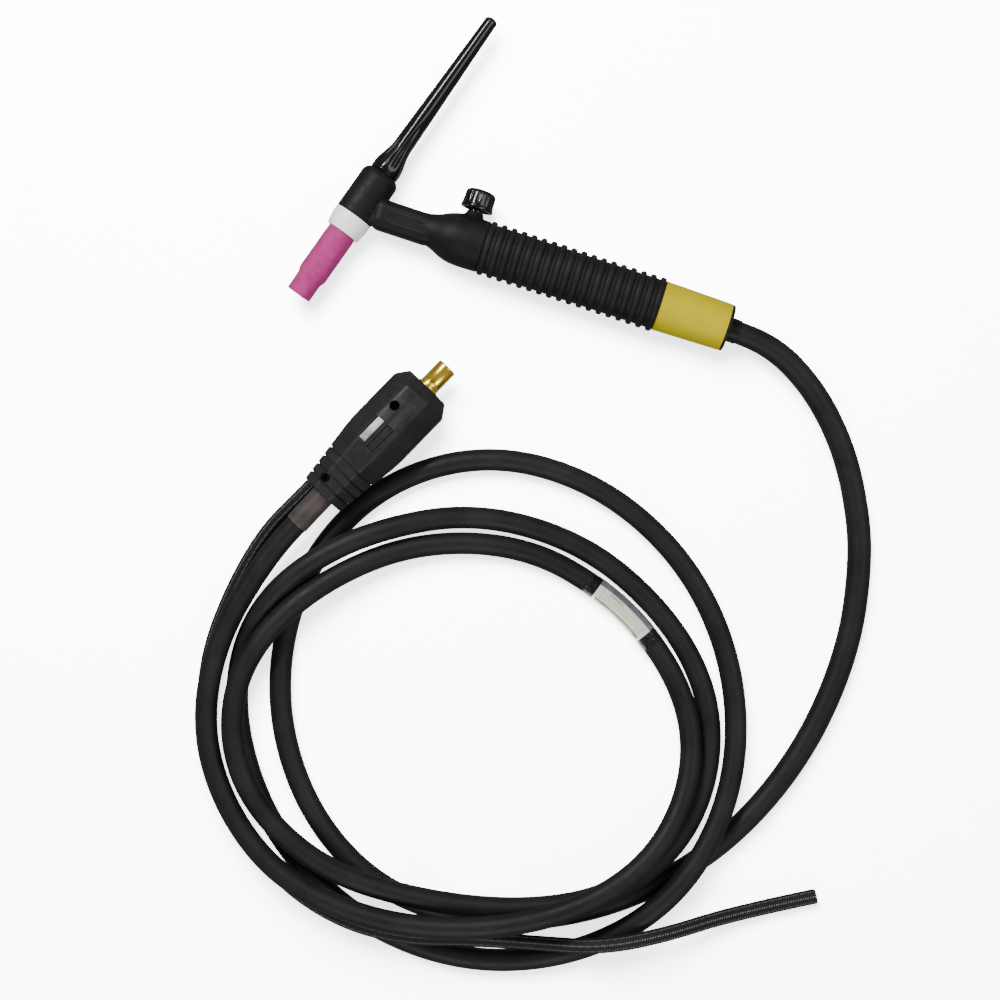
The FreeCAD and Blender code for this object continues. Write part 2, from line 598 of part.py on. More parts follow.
def octagon(apothem, height):
    """Corners of an eight-sided section with a flat face up, down and at each side, first one repeated."""
    corner = apothem / math.cos(math.pi / 8)
    turns = [math.radians(22.5 + 45 * i) for i in range(8)]
    points = [Vector(corner * math.cos(t), corner * math.sin(t), height) for t in turns]
    return points + [points[0]]


def boot_apothem(height):
    """Half width of the boot across its flats at a distance from its rear face."""
    for (low, first), (high, last) in zip(BOOT_ROWS, BOOT_ROWS[1:]):
        if height <= high:
            return first + (last - first) * (height - low) / (high - low)
    return BOOT_ROWS[-1][1]


def plug_outline():
    """Outer form of the boot: eight-sided, widening to the middle, grooved and chamfered."""
    rows = [BOOT_ROWS[0]]
    for groove in PLUG_GROOVES:
        start = groove - GROOVE_WIDTH / 2
        end = groove + GROOVE_WIDTH / 2
        rows += [(start, boot_apothem(start)), (start + GROOVE_FLANK, boot_apothem(start) - GROOVE_DEPTH),
                 (end - GROOVE_FLANK, boot_apothem(end) - GROOVE_DEPTH), (end, boot_apothem(end))]
    rows += BOOT_ROWS[1:]
    rings = [octagon(apothem, height) for height, apothem in rows]
    faces = [Part.Face(Part.makePolygon(rings[0])), Part.Face(Part.makePolygon(rings[-1]))]
    for ring, following in zip(rings, rings[1:]):
        for i in range(8):
            quad = [ring[i], ring[i + 1], following[i + 1], following[i], ring[i]]
            faces.append(Part.Face(Part.makePolygon(quad)))
    return Part.Solid(Part.Shell(faces))


def cable_hole(radius, low, high):
    """Cylinder on the cable's line through the boot."""
    return rod(radius, low, high, -PLUG_CABLE_SIDE, PLUG_CABLE_HEIGHT)


def hose_hole(radius, low, high):
    """Cylinder on the hose's line through the boot."""
    return rod(radius, low, high, -PLUG_HOSE_SIDE, PLUG_HOSE_HEIGHT)


def upright(radius, low, high, side, along):
    """Cylinder square to the boot's top; side is positive to the right of the pin."""
    return Part.makeCylinder(radius, high - low, Vector(-side, low, along), Vector(0, 1, 0))


def window_block(side, width, start, end, low, high):
    """Upright block under the boot's top face."""
    return Part.makeBox(width, high - low, end - start, Vector(-side - width / 2, low, start))


def make_plug_boot():
    """Whole boot with its cavity, openings, windows and screw holes."""
    body = plug_outline()
    body = body.cut(rod(BOOT_CAVITY_RADIUS, BOOT_WALL - 1, PLUG_FLANGE[0]))
    body = body.cut(rod(PLUG_FLANGE_RADIUS, *PLUG_FLANGE))
    body = body.cut(rod(PLUG_BODY_RADIUS, PLUG_FLANGE[1], PLUG_BODY_END))
    body = body.cut(rod(PLUG_NECK_RADIUS, PLUG_BODY_END, PLUG_LENGTH + 1))
    body = body.cut(cable_hole(SLEEVE_RADIUS + FIT, -1, BOOT_WALL))
    body = body.cut(hose_hole(HOSE_DIAMETER / 2 + HOSE_ROOM, -1, BOOT_WALL))
    body = body.cut(hose_hole(HOSE_CAVITY_RADIUS, BOOT_WALL - 1, PLUG_FLANGE[0]))
    for side, width, start, end in WINDOW_PLACES.values():
        body = body.cut(window_block(side, width, start, end, WINDOW_FLOOR, BEYOND))
    for side, along, foot in SET_SCREWS:
        body = body.cut(upright(SET_SCREW_RADIUS, foot, BEYOND, side, along))
    for side, along in SHELL_SCREWS:
        body = body.cut(upright(SHELL_SCREW_HEAD[0], -BEYOND, SHELL_SCREW_HEAD[2], side, along))
        body = body.cut(upright(*SHELL_SCREW_SHANK, side, along))
    return body


def make_plug_shells():
    """Upper and lower halves of the boot."""
    boot = make_plug_boot()
    half_box = (2 * BEYOND, BEYOND, PLUG_LENGTH + BEYOND)
    upper = boot.common(Part.makeBox(*half_box, Vector(-BEYOND, 0, -BEYOND / 2)))
    lower = boot.common(Part.makeBox(*half_box, Vector(-BEYOND, -BEYOND, -BEYOND / 2)))
    return place(upper, PLUG), place(lower, PLUG)


def make_plug_window(name):
    """Insert set a little below the boot's top face."""
    side, width, start, end = WINDOW_PLACES[name]
    top = WINDOW_FLOOR + WINDOW_THICKNESS
    return place(window_block(side, width, start, end, WINDOW_FLOOR, top), PLUG)


def make_plug_pin():
    """Brass contact body with its flange, cable bore, gas way and round pin."""
    body = turned([(0, PLUG_FLANGE[0]), (PLUG_FLANGE_RADIUS, PLUG_FLANGE[0]),
                   (PLUG_FLANGE_RADIUS, PLUG_FLANGE[1]), (PLUG_BODY_RADIUS, PLUG_FLANGE[1]),
                   (PLUG_BODY_RADIUS, PLUG_BODY_END), (PLUG_NECK_RADIUS, PLUG_BODY_END),
                   (PLUG_NECK_RADIUS, PLUG_LENGTH + PIN_SHOULDER), (PIN_RADIUS, PLUG_LENGTH + PIN_SHOULDER),
                   (PIN_RADIUS, PLUG_PIN_TIP - PIN_CHAMFER), (PIN_RADIUS - PIN_CHAMFER, PLUG_PIN_TIP),
                   (0, PLUG_PIN_TIP)])
    body = body.cut(cable_hole(CONDUCTOR_RADIUS, PLUG_FLANGE[0] - 1, CONDUCTOR_END))
    body = body.cut(hose_hole(HOSE_BORE_RADIUS, PLUG_FLANGE[0] - 1, GAS_WAY_END))
    top = PLUG_CABLE_HEIGHT - CONDUCTOR_RADIUS + 0.3
    for along in CLAMP_SCREW_PLACES:
        body = body.cut(upright(CLAMP_SCREW_RADIUS, -PLUG_BODY_RADIUS - 0.5, top, PLUG_CABLE_SIDE, along))
    return place(body, PLUG)


def make_plug_conductor():
    """Stripped copper end of the cable in the contact body."""
    return place(cable_hole(CONDUCTOR_RADIUS, CABLE_END, CONDUCTOR_END), PLUG)


def make_clamp_screws():
    """Two grub screws that clamp the copper end."""
    top = PLUG_CABLE_HEIGHT - CONDUCTOR_RADIUS - 0.1
    screws = []
    for along in CLAMP_SCREW_PLACES:
        screw = upright(CLAMP_SCREW_RADIUS, CLAMP_SCREW_FOOT, top, PLUG_CABLE_SIDE, along)
        socket = upright(CLAMP_SCREW_RADIUS / 2, CLAMP_SCREW_FOOT - 1, CLAMP_SCREW_FOOT + CLAMP_SOCKET_DEPTH,
                         PLUG_CABLE_SIDE, along)
        screws.append(screw.cut(socket))
    return place(Part.makeCompound(screws), PLUG)


def make_plug_set_screws():
    """Two sunk set screws under the round holes of the upper half."""
    screws = []
    socket_radius, socket_floor = SET_SCREW_SOCKET
    for side, along, foot in SET_SCREWS:
        screw = upright(SET_SCREW_RADIUS, foot, foot + SET_SCREW_HEIGHT, side, along)
        screws.append(screw.cut(upright(socket_radius, foot + socket_floor, BEYOND, side, along)))
    return place(Part.makeCompound(screws), PLUG)


def make_shell_screws():
    """Two screws that hold the halves together from below."""
    screws = []
    for side, along in SHELL_SCREWS:
        head = upright(*SHELL_SCREW_HEAD, side, along)
        screws.append(fused(head, upright(*SHELL_SCREW_SHANK, side, along)))
    return place(Part.makeCompound(screws), PLUG)


def make_gas_barb():
    """Brass hose barb that leads the gas into the contact body."""
    profile = [(GAS_BARB_BORE, CABLE_END), (HOSE_BORE_RADIUS - 0.2, CABLE_END)]
    for start in HOSE_BARBS:
        profile += [(HOSE_BORE_RADIUS + 0.9, start + 3.0), (HOSE_BORE_RADIUS - 0.1, start + 3.2)]
    profile += [(HOSE_BORE_RADIUS, GAS_BARB_NECK), (HOSE_BORE_RADIUS, GAS_WAY_END),
                (GAS_BARB_BORE, GAS_WAY_END)]
    barb = turned(profile)
    barb.translate(Vector(-PLUG_HOSE_SIDE, PLUG_HOSE_HEIGHT, 0))
    return place(barb, PLUG)


def make_hose_ferrule():
    """Crimped ring round the end of the hose, inside the boot."""
    radius, front = HOSE_FERRULE
    ring = tube(radius, HOSE_DIAMETER / 2 + HOSE_ROOM, front, CABLE_END)
    ring.translate(Vector(-PLUG_HOSE_SIDE, PLUG_HOSE_HEIGHT, 0))
    return place(ring, PLUG)


# ---- write every piece ----

os.makedirs("parts", exist_ok=True)

cable, cable_segments = cord("power_cable", CABLE_ROUTE, CABLE_DIAMETER)
hose, hose_segments = cord("gas_hose", HOSE_ROUTE, HOSE_DIAMETER)
hose_end = Vector(*HOSE_ROUTE[-1])
hose_out = hose_end - Vector(*HOSE_ROUTE[-2])
hose_out.normalize()
hose_mouth = Part.makeCylinder(HOSE_BORE_RADIUS, HOSE_BORE_DEPTH + 1, hose_end - hose_out * HOSE_BORE_DEPTH,
                               hose_out)
cable_length = sum(s[3] for s in cable_segments)
label_ring = CABLE_DIAMETER / 2 + LABEL_THICKNESS
plug_upper_shell, plug_lower_shell = make_plug_shells()

pieces = {
    "head_core": make_head_core(),
    "power_tube": make_power_tube(),
    "torch_insulation": make_torch_insulation(),
    "collet_body": make_collet_body(),
    "collet": make_collet(),
    "electrode": make_electrode(),
    "heat_shield": make_heat_shield(),
    "gas_nozzle": make_gas_nozzle(),
    "back_cap": make_back_cap(),
    "back_cap_oring": make_back_cap_oring(),
    "valve_block": make_valve_block(),
    "valve_stem": make_valve_stem(),
    "valve_stem_oring": make_valve_stem_oring(),
    "valve_gland_nut": make_valve_gland_nut(),
    "valve_knob": make_valve_knob(),
    "grip_handle": make_grip_handle(),
    "collar_ring": make_collar_ring(),
    "handle_end_cap": make_handle_end_cap(cable_segments),
    "rear_tube": make_rear_tube(),
    "cable_nut": make_cable_nut(),
    "hose_tail": make_hose_tail(),
    "cable_ferrule": make_cable_ferrule(),
    "cable_exit_sleeve": sleeve(cable_segments, *EXIT_SLEEVE_PLACE, SLEEVE_RADIUS, CABLE_DIAMETER / 2),
    "power_cable": cable,
    "cable_label": sleeve(cable_segments, *LABEL_PRINT, label_ring, CABLE_DIAMETER / 2),
    "label_sleeve": sleeve(cable_segments, *LABEL_PLACE, label_ring + FILM_THICKNESS, label_ring),
    "plug_shrink_sleeve": sleeve(cable_segments, cable_length - CABLE_END - SHRINK_LENGTH,
                                 cable_length - CABLE_END + SHRINK_INSIDE, SLEEVE_RADIUS, CABLE_DIAMETER / 2),
    "gas_hose": hose.cut(hose_mouth),
    "plug_upper_shell": plug_upper_shell,
    "plug_lower_shell": plug_lower_shell,
    "plug_window_bright": make_plug_window("plug_window_bright"),
    "plug_window_dark": make_plug_window("plug_window_dark"),
    "plug_pin": make_plug_pin(),
    "plug_conductor": make_plug_conductor(),
    "plug_clamp_screws": make_clamp_screws(),
    "plug_set_screws": make_plug_set_screws(),
    "plug_shell_screws": make_shell_screws(),
    "plug_gas_barb": make_gas_barb(),
    "hose_ferrule": make_hose_ferrule(),
}

for name, shape in pieces.items():
    assert shape.isValid() and shape.Solids, name
    print("%-20s solids %d  volume %9.1f  z %.2f to %.2f" % (
        name, len(shape.Solids), shape.Volume, shape.BoundBox.ZMin, shape.BoundBox.ZMax))
    shape.exportStep("parts/%s.step" % name)
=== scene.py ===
import json
import math

import bmesh
import bpy
from mathutils import Matrix, Vector, noise


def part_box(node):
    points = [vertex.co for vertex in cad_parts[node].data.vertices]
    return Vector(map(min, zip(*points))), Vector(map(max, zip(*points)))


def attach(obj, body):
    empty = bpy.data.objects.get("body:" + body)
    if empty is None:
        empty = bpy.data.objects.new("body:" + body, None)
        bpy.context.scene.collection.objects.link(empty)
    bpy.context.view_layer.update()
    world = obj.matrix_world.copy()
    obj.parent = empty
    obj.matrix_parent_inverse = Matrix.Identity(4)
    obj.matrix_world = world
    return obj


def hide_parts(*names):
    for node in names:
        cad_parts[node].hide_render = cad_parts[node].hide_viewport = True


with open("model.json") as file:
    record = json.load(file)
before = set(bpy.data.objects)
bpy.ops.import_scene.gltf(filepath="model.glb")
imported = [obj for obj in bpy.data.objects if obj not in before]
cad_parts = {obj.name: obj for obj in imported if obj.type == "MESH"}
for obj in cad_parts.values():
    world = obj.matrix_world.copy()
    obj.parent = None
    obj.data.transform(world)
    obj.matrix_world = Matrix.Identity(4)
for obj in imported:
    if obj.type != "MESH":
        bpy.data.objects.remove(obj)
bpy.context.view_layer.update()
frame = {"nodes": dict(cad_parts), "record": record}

# Lengths inside the shape functions are millimetres in the piece's own frame; MM turns them into metres.
MM = 0.001
FILLET_STEPS = 6
UP = Vector((0, 0, 1))


# ---- frames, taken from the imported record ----

def axis_matrix(origin, direction):
    """Local millimetres to the row frame: local Z along direction, local Y up."""
    along = Vector(direction).normalized()
    side = UP.cross(along).normalized()
    turn = Matrix((side, along.cross(side), along)).transposed().to_4x4()
    return Matrix.Translation(origin) @ turn @ Matrix.Scale(MM, 4)


def by_name(rows):
    """Rows of the record keyed by their names."""
    return {row["name"]: row for row in rows}


record = frame["record"]
joints = by_name(record["behaviour"]["joints"])
mounts = by_name(record["mounts"])
slot_of = {row["node"]: row["material_slot"] for row in record["subparts"]}

grip_low, grip_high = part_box("grip_handle")
grip_start = Vector((grip_low.x, (grip_low.y + grip_high.y) / 2, (grip_low.z + grip_high.z) / 2))
pin_axis = Vector(mounts["plug_pin"]["axis"])
pin_middle = Vector(mounts["plug_pin"]["pos_m"])
PIN_MIDDLE_FROM_REAR = 102.6
PLUG_REAR = pin_middle - pin_axis * PIN_MIDDLE_FROM_REAR * MM

HANDLE = axis_matrix(grip_start, (1, 0, 0))
HEAD = axis_matrix(joints["cap_turn"]["pos_m"], joints["cap_turn"]["axis"])
VALVE = axis_matrix(joints["valve_turn"]["pos_m"], joints["valve_turn"]["axis"])
PLUG = axis_matrix(PLUG_REAR, pin_axis)


# ---- camera ----

CAMERA_TURN = 18.27
CAMERA_PLACE = (0.0334, -0.1831, 1.25)
CAMERA_LENS = 70.8

camera_data = bpy.data.cameras.new("camera")
camera_data.lens = CAMERA_LENS
camera = bpy.data.objects.new("camera", camera_data)
camera.location = CAMERA_PLACE
camera.rotation_euler = (0, 0, math.radians(CAMERA_TURN))
bpy.context.collection.objects.link(camera)
bpy.context.scene.camera = camera


# ---- materials ----

def shader(name):
    """New material with its node tree and its Principled shader."""
    made = bpy.data.materials.new(name)
    made.use_nodes = True
    return made, made.node_tree, made.node_tree.nodes["Principled BSDF"]


def add_noise(tree, coords, scale, detail=4.0):
    """Noise texture on the given coordinates."""
    node = tree.nodes.new("ShaderNodeTexNoise")
    node.inputs["Scale"].default_value = scale
    node.inputs["Detail"].default_value = detail
    tree.links.new(coords, node.inputs["Vector"])
    return node.outputs["Fac"]


def map_range(tree, value, low, high, source=(0.3, 0.7)):
    """Value carried from one range to another."""
    node = tree.nodes.new("ShaderNodeMapRange")
    node.inputs["From Min"].default_value = source[0]
    node.inputs["From Max"].default_value = source[1]
    node.inputs["To Min"].default_value = low
    node.inputs["To Max"].default_value = high
    tree.links.new(value, node.inputs["Value"])
    return node.outputs["Result"]


def mix_colors(tree, factor, first, second):
    """Colour between two colours or sockets."""
    node = tree.nodes.new("ShaderNodeMix")
    node.data_type = "RGBA"
    tree.links.new(factor, node.inputs["Factor"])
    for value, socket in ((first, node.inputs[6]), (second, node.inputs[7])):
        if isinstance(value, bpy.types.NodeSocket):
            tree.links.new(value, socket)
        else:
            socket.default_value = (*value, 1)
    return node.outputs[2]


def add_bump(tree, height, distance, strength=1.0, normal=None):
    """Bump from a height, on top of another bump where one is given."""
    node = tree.nodes.new("ShaderNodeBump")
    node.inputs["Strength"].default_value = strength
    node.inputs["Distance"].default_value = distance
    tree.links.new(height, node.inputs["Height"])
    if normal is not None:
        tree.links.new(normal, node.inputs["Normal"])
    return node.outputs["Normal"]


def object_coords(tree):
    """Object coordinates, which are metres in the row frame."""
    return tree.nodes.new("ShaderNodeTexCoord").outputs["Object"]


EDGE_POINTINESS = (0.52, 0.58)
SCRATCH_SCALE = 400
GLOSS_FINENESS = 4


def surface(name, colors, roughness, grain=(2500, 0.00004), mottle=60, wear=None, **constants):
    """Mottled colour, uneven gloss and fine grain, with worn edges where wear gives their colour."""
    made, tree, principled = shader(name)
    coords = object_coords(tree)
    broad = add_noise(tree, coords, mottle)
    color = mix_colors(tree, map_range(tree, broad, 0, 1), *colors)
    if wear:
        geometry = tree.nodes.new("ShaderNodeNewGeometry")
        scratches = add_noise(tree, coords, SCRATCH_SCALE)
        edge = map_range(tree, geometry.outputs["Pointiness"], 0, 1, EDGE_POINTINESS)
        both = tree.nodes.new("ShaderNodeMath")
        both.operation = "MULTIPLY"
        tree.links.new(edge, both.inputs[0])
        tree.links.new(scratches, both.inputs[1])
        color = mix_colors(tree, both.outputs[0], color, wear)
    tree.links.new(color, principled.inputs["Base Color"])
    gloss = map_range(tree, add_noise(tree, coords, mottle * GLOSS_FINENESS), *roughness)
    tree.links.new(gloss, principled.inputs["Roughness"])
    scale, height = grain
    fine = add_bump(tree, add_noise(tree, coords, scale, 3.0), height)
    tree.links.new(fine, principled.inputs["Normal"])
    for socket, value in constants.items():
        principled.inputs[socket.replace("_", " ")].default_value = value
    return made


STREAK_SPACING = 0.0006
STREAK_STRETCH = (0.02, 1, 1)
STREAK_HEIGHT = 0.000003
STAIN_SCALE = 180


def drawn_metal(name, colors, roughness, direction_angle):
    """Metal with fine streaks along an axis in the floor plane."""
    made, tree, principled = shader(name)
    mapping = tree.nodes.new("ShaderNodeMapping")
    mapping.inputs["Rotation"].default_value = (0, 0, -direction_angle)
    tree.links.new(object_coords(tree), mapping.inputs["Vector"])
    stretch = tree.nodes.new("ShaderNodeMapping")
    stretch.inputs["Scale"].default_value = STREAK_STRETCH
    tree.links.new(mapping.outputs["Vector"], stretch.inputs["Vector"])
    streaks = add_noise(tree, stretch.outputs["Vector"], 1 / STREAK_SPACING, 2.0)
    stains = add_noise(tree, mapping.outputs["Vector"], STAIN_SCALE)
    color = mix_colors(tree, map_range(tree, stains, 0, 1), *colors)
    tree.links.new(color, principled.inputs["Base Color"])
    tree.links.new(map_range(tree, streaks, *roughness), principled.inputs["Roughness"])
    tree.links.new(add_bump(tree, streaks, STREAK_HEIGHT), principled.inputs["Normal"])
    principled.inputs["Metallic"].default_value = 1.0
    return made


FILM_WAVE_SCALE = 500
FILM_WAVE_HEIGHT = 0.00012
FILM_IOR = 1.1


def clear_film(name):
    """Clear heat-shrunk film with slight waves."""
    made, tree, principled = shader(name)
    coords = object_coords(tree)
    waves = add_noise(tree, coords, FILM_WAVE_SCALE)
    tree.links.new(mix_colors(tree, map_range(tree, waves, 0, 1), (0.98, 0.98, 0.97), (1.0, 1.0, 1.0)),
                   principled.inputs["Base Color"])
    tree.links.new(map_range(tree, waves, 0.03, 0.10), principled.inputs["Roughness"])
    tree.links.new(add_bump(tree, waves, FILM_WAVE_HEIGHT), principled.inputs["Normal"])
    principled.inputs["Transmission Weight"].default_value = 1.0
    principled.inputs["IOR"].default_value = FILM_IOR
    return made


YARN_COLORS = ((0.004, 0.004, 0.005), (0.011, 0.011, 0.012))
FLECK_COLOR = (0.13, 0.13, 0.125)
FIBRE_SCALE = 5000
FIBRE_HEIGHT = 0.00006


def braided_cover(name):
    """Woven black cover; the mesh says which yarns are the light ones."""
    made, tree, principled = shader(name)
    coords = object_coords(tree)
    fleck = tree.nodes.new("ShaderNodeAttribute")
    fleck.attribute_name = "fleck"
    dark = mix_colors(tree, map_range(tree, add_noise(tree, coords, 900), 0, 1), *YARN_COLORS)
    flecked = mix_colors(tree, fleck.outputs["Fac"], dark, FLECK_COLOR)
    tree.links.new(flecked, principled.inputs["Base Color"])
    gloss = map_range(tree, add_noise(tree, coords, 1200), 0.45, 0.75)
    tree.links.new(gloss, principled.inputs["Roughness"])
    fibres = add_bump(tree, add_noise(tree, coords, FIBRE_SCALE, 2.0), FIBRE_HEIGHT)
    tree.links.new(fibres, principled.inputs["Normal"])
    principled.inputs["Specular IOR Level"].default_value = MATTE["Specular_IOR_Level"]
    return made


BLACK = (0.0035, 0.0035, 0.004)
MATTE = {"Specular_IOR_Level": 0.13}
FLOOR_GLOW = 2.5
materials = {
    "moulded_rubber": surface("moulded_rubber", (BLACK, (0.007, 0.007, 0.0085)), (0.46, 0.60),
                              wear=(0.03, 0.03, 0.032), **MATTE),
    "grip_rubber": surface("grip_rubber", ((0.006, 0.0055, 0.0065), (0.011, 0.0105, 0.0115)), (0.46, 0.62),
                           grain=(1800, 0.00007), wear=(0.04, 0.04, 0.042), **MATTE),
    "gloss_black": surface("gloss_black", ((0.002, 0.002, 0.002), (0.003, 0.003, 0.003)), (0.05, 0.10),
                           grain=(300, 0.00001), Specular_IOR_Level=0.3),
    "yellow_plastic": surface("yellow_plastic", ((0.38, 0.315, 0.0), (0.43, 0.355, 0.0)), (0.42, 0.54),
                              grain=(2200, 0.00002), wear=(0.52, 0.44, 0.01), Specular_IOR_Level=0.1),
    "black_plastic": surface("black_plastic", (BLACK, (0.011, 0.011, 0.011)), (0.35, 0.5), **MATTE),
    "pink_ceramic": surface("pink_ceramic", ((0.30, 0.024, 0.14), (0.36, 0.038, 0.17)), (0.50, 0.66),
                            grain=(3000, 0.00005), mottle=220, wear=(0.42, 0.09, 0.23),
                            Specular_IOR_Level=0.1),
    "white_ptfe": surface("white_ptfe", ((0.93, 0.91, 0.84), (0.96, 0.95, 0.91)), (0.35, 0.5), mottle=120,
                          Subsurface_Weight=0.1, Subsurface_Scale=0.001),
    "brass": drawn_metal("brass", ((0.78, 0.52, 0.04), (0.90, 0.68, 0.10)), (0.16, 0.24),
                          math.atan2(pin_axis.y, pin_axis.x)),
    "copper": drawn_metal("copper", ((0.62, 0.27, 0.14), (0.72, 0.36, 0.20)), (0.22, 0.38), 0.0),
    "tungsten": drawn_metal("tungsten", ((0.30, 0.30, 0.31), (0.42, 0.42, 0.43)), (0.25, 0.4), 0.0),
    # Steel is near black: black-oxide screws, and also painted shade that darkens the deep set-screw holes
    # in the boot.
    "steel": drawn_metal("steel", ((0.004, 0.004, 0.004), (0.010, 0.010, 0.010)), (0.35, 0.55), 0.0),
    "seal_rubber": surface("seal_rubber", (BLACK, (0.02, 0.02, 0.02)), (0.5, 0.7), **MATTE),
    "cable_rubber": surface("cable_rubber", ((0.0065, 0.006, 0.0065), (0.0125, 0.012, 0.0125)), (0.42, 0.58),
                            grain=(1400, 0.00008), mottle=35, **MATTE),
    "hose_braid": braided_cover("hose_braid"),
    "label_print": surface("label_print", ((0.72, 0.68, 0.56), (0.80, 0.77, 0.68)), (0.4, 0.5), mottle=200),
    "clear_sleeve": clear_film("clear_sleeve"),
    "brown_shrink": surface("brown_shrink", ((0.034, 0.028, 0.027), (0.06, 0.05, 0.048)), (0.35, 0.5),
                            mottle=150, **MATTE),
    "plug_rubber": surface("plug_rubber", ((0.008, 0.008, 0.0085), (0.014, 0.014, 0.0135)), (0.36, 0.50),
                           grain=(1700, 0.00005), wear=(0.05, 0.05, 0.05), Specular_IOR_Level=0.22),
    # The grey window's wide swing from dark to light grey is partly its own tone and partly a painted
    # reflection of the bright and dark bands on its glossy face.
    "window_grey": surface("window_grey", ((0.10, 0.105, 0.105), (0.66, 0.67, 0.67)), (0.12, 0.22),
                           mottle=70, Coat_Weight=0.6, Coat_Roughness=0.06),
    "window_black": surface("window_black", ((0.010, 0.009, 0.008), (0.017, 0.016, 0.015)), (0.2, 0.32),
                            grain=(2000, 0.00001), Specular_IOR_Level=0.3),
}
# Two more looks on the label, and the floor.
label_grey = surface("label_grey", ((0.10, 0.11, 0.13), (0.16, 0.17, 0.19)), (0.35, 0.5), mottle=300)
label_black = surface("label_black", ((0.008, 0.008, 0.008), (0.02, 0.02, 0.02)), (0.3, 0.45), mottle=300)
floor_white = surface("floor_white", ((0.86, 0.86, 0.86), (0.88, 0.88, 0.88)), (0.55, 0.7),
                      grain=(600, 0.00002), mottle=3, Emission_Color=(1, 1, 1, 1),
                      Emission_Strength=FLOOR_GLOW)

for node, node_object in frame["nodes"].items():
    for material_slot in node_object.material_slots:
        material_slot.material = materials[slot_of[node]]
# Nothing bright shows under the valve knob, so these two brass pieces are blackened.
for node in ("valve_gland_nut", "valve_stem"):
    for material_slot in frame["nodes"][node].material_slots:
        material_slot.material = materials["gloss_black"]


# ---- mesh helpers ----

def piece(name, mesh, slot_name, body="torch", stands_for=(), crease=35):
    """Mesh in the row frame as a piece that rides on a body and may stand for CAD nodes."""
    mesh.name = name
    made = bpy.data.objects.new(name, mesh)
    bpy.context.collection.objects.link(made)
    if not mesh.materials:
        mesh.materials.append(materials[slot_name])
    mesh.shade_smooth()
    mesh.set_sharp_from_angle(angle=math.radians(crease))
    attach(made, body)
    if stands_for:
        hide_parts(*stands_for)
    return made


WELD_DISTANCE = 1e-7
BEVEL_STEPS = 4


def to_mesh(bm):
    """Mesh from a bmesh, welded and with outward normals."""
    bmesh.ops.remove_doubles(bm, verts=bm.verts, dist=WELD_DISTANCE)
    bmesh.ops.recalc_face_normals(bm, faces=bm.faces)
    mesh = bpy.data.meshes.new("mesh")
    bm.to_mesh(mesh)
    bm.free()
    return mesh


def rounded(corners):
    """Outline with each (radius, height, fillet) corner turned into a small curve."""
    outline = []
    for i, (radius, height, *fillet) in enumerate(corners):
        here = Vector((radius, height))
        if not fillet:
            outline.append(here)
            continue
        back = Vector(corners[i - 1][:2]) - here
        ahead = Vector(corners[(i + 1) % len(corners)][:2]) - here
        reach = min(fillet[0], 0.48 * back.length, 0.48 * ahead.length)
        first = here + back.normalized() * reach
        last = here + ahead.normalized() * reach
        for k in range(FILLET_STEPS + 1):
            t = k / FILLET_STEPS
            outline.append(first * (1 - t) ** 2 + here * 2 * t * (1 - t) + last * t ** 2)
    return outline


def lathe(outline, matrix, steps=128, shape=None):
    """Closed surface about local Z; shape may change each point's radius with its height and angle."""
    bm = bmesh.new()
    rings = []
    for radius, height in outline:
        ring = []
        for i in range(steps):
            angle = 2 * math.pi * i / steps
            reach = shape(radius, height, angle) if shape and radius else radius
            place = Vector((reach * math.cos(angle), reach * math.sin(angle), height))
            ring.append(bm.verts.new(matrix @ place))
        rings.append(ring)
    if outline[0][0] > 0:
        rings.append(rings[0])
    for ring, following in zip(rings, rings[1:]):
        for i in range(steps):
            j = (i + 1) % steps
            bm.faces.new((ring[i], ring[j], following[j], following[i]))
    return to_mesh(bm)


def block(size, centre, matrix, fillet=0.0):
    """Box with rounded edges, sized and centred in local millimetres."""
    bm = bmesh.new()
    bmesh.ops.create_cube(bm, size=1.0)
    bmesh.ops.scale(bm, vec=Vector(size), verts=bm.verts)
    if fillet:
        bmesh.ops.bevel(bm, geom=bm.edges, offset=fillet, segments=BEVEL_STEPS, profile=0.5, affect="EDGES")
    bmesh.ops.translate(bm, vec=Vector(centre), verts=bm.verts)
    bmesh.ops.transform(bm, matrix=matrix, verts=bm.verts)
    return to_mesh(bm)


def stand(mesh):
    """Scratch object for a boolean or a remesh."""
    made = bpy.data.objects.new("scratch", mesh)
    bpy.context.collection.objects.link(made)
    return made


def with_modifier(mesh, kind, **settings):
    """Mesh after one modifier."""
    made = stand(mesh)
    modifier = made.modifiers.new("edit", kind)
    for key, value in settings.items():
        setattr(modifier, key, value)
    depsgraph = bpy.context.evaluated_depsgraph_get()
    result = bpy.data.meshes.new_from_object(made.evaluated_get(depsgraph))
    bpy.data.objects.remove(made)
    return result


def cut(mesh, *cutters):
    """Mesh less each cutter."""
    for cutter in cutters:
        tool = stand(cutter)
        mesh = with_modifier(mesh, "BOOLEAN", object=tool, operation="DIFFERENCE", solver="EXACT")
        bpy.data.objects.remove(tool)
    return mesh


def joined(*meshes):
    """All meshes in one, as they are."""
    bm = bmesh.new()
    for mesh in meshes:
        bm.from_mesh(mesh)
    result = bpy.data.meshes.new("joined")
    bm.to_mesh(result)
    bm.free()
    return result


def rod(radius, low, high, matrix, fillet=0.05, at=(0.0, 0.0), steps=48):
    """Round bar along local Z with softened ends, centred at a local point."""
    outline = rounded([(0, low), (radius, low, fillet), (radius, high, fillet), (0, high)])
    return lathe(outline, matrix @ Matrix.Translation((*at, 0)), steps)


# ---- cords ----

CABLE_DIAMETER = 0.014
HOSE_DIAMETER = 0.0095
ROUTE_RESOLUTION = 24
CABLE_SIDES = 10

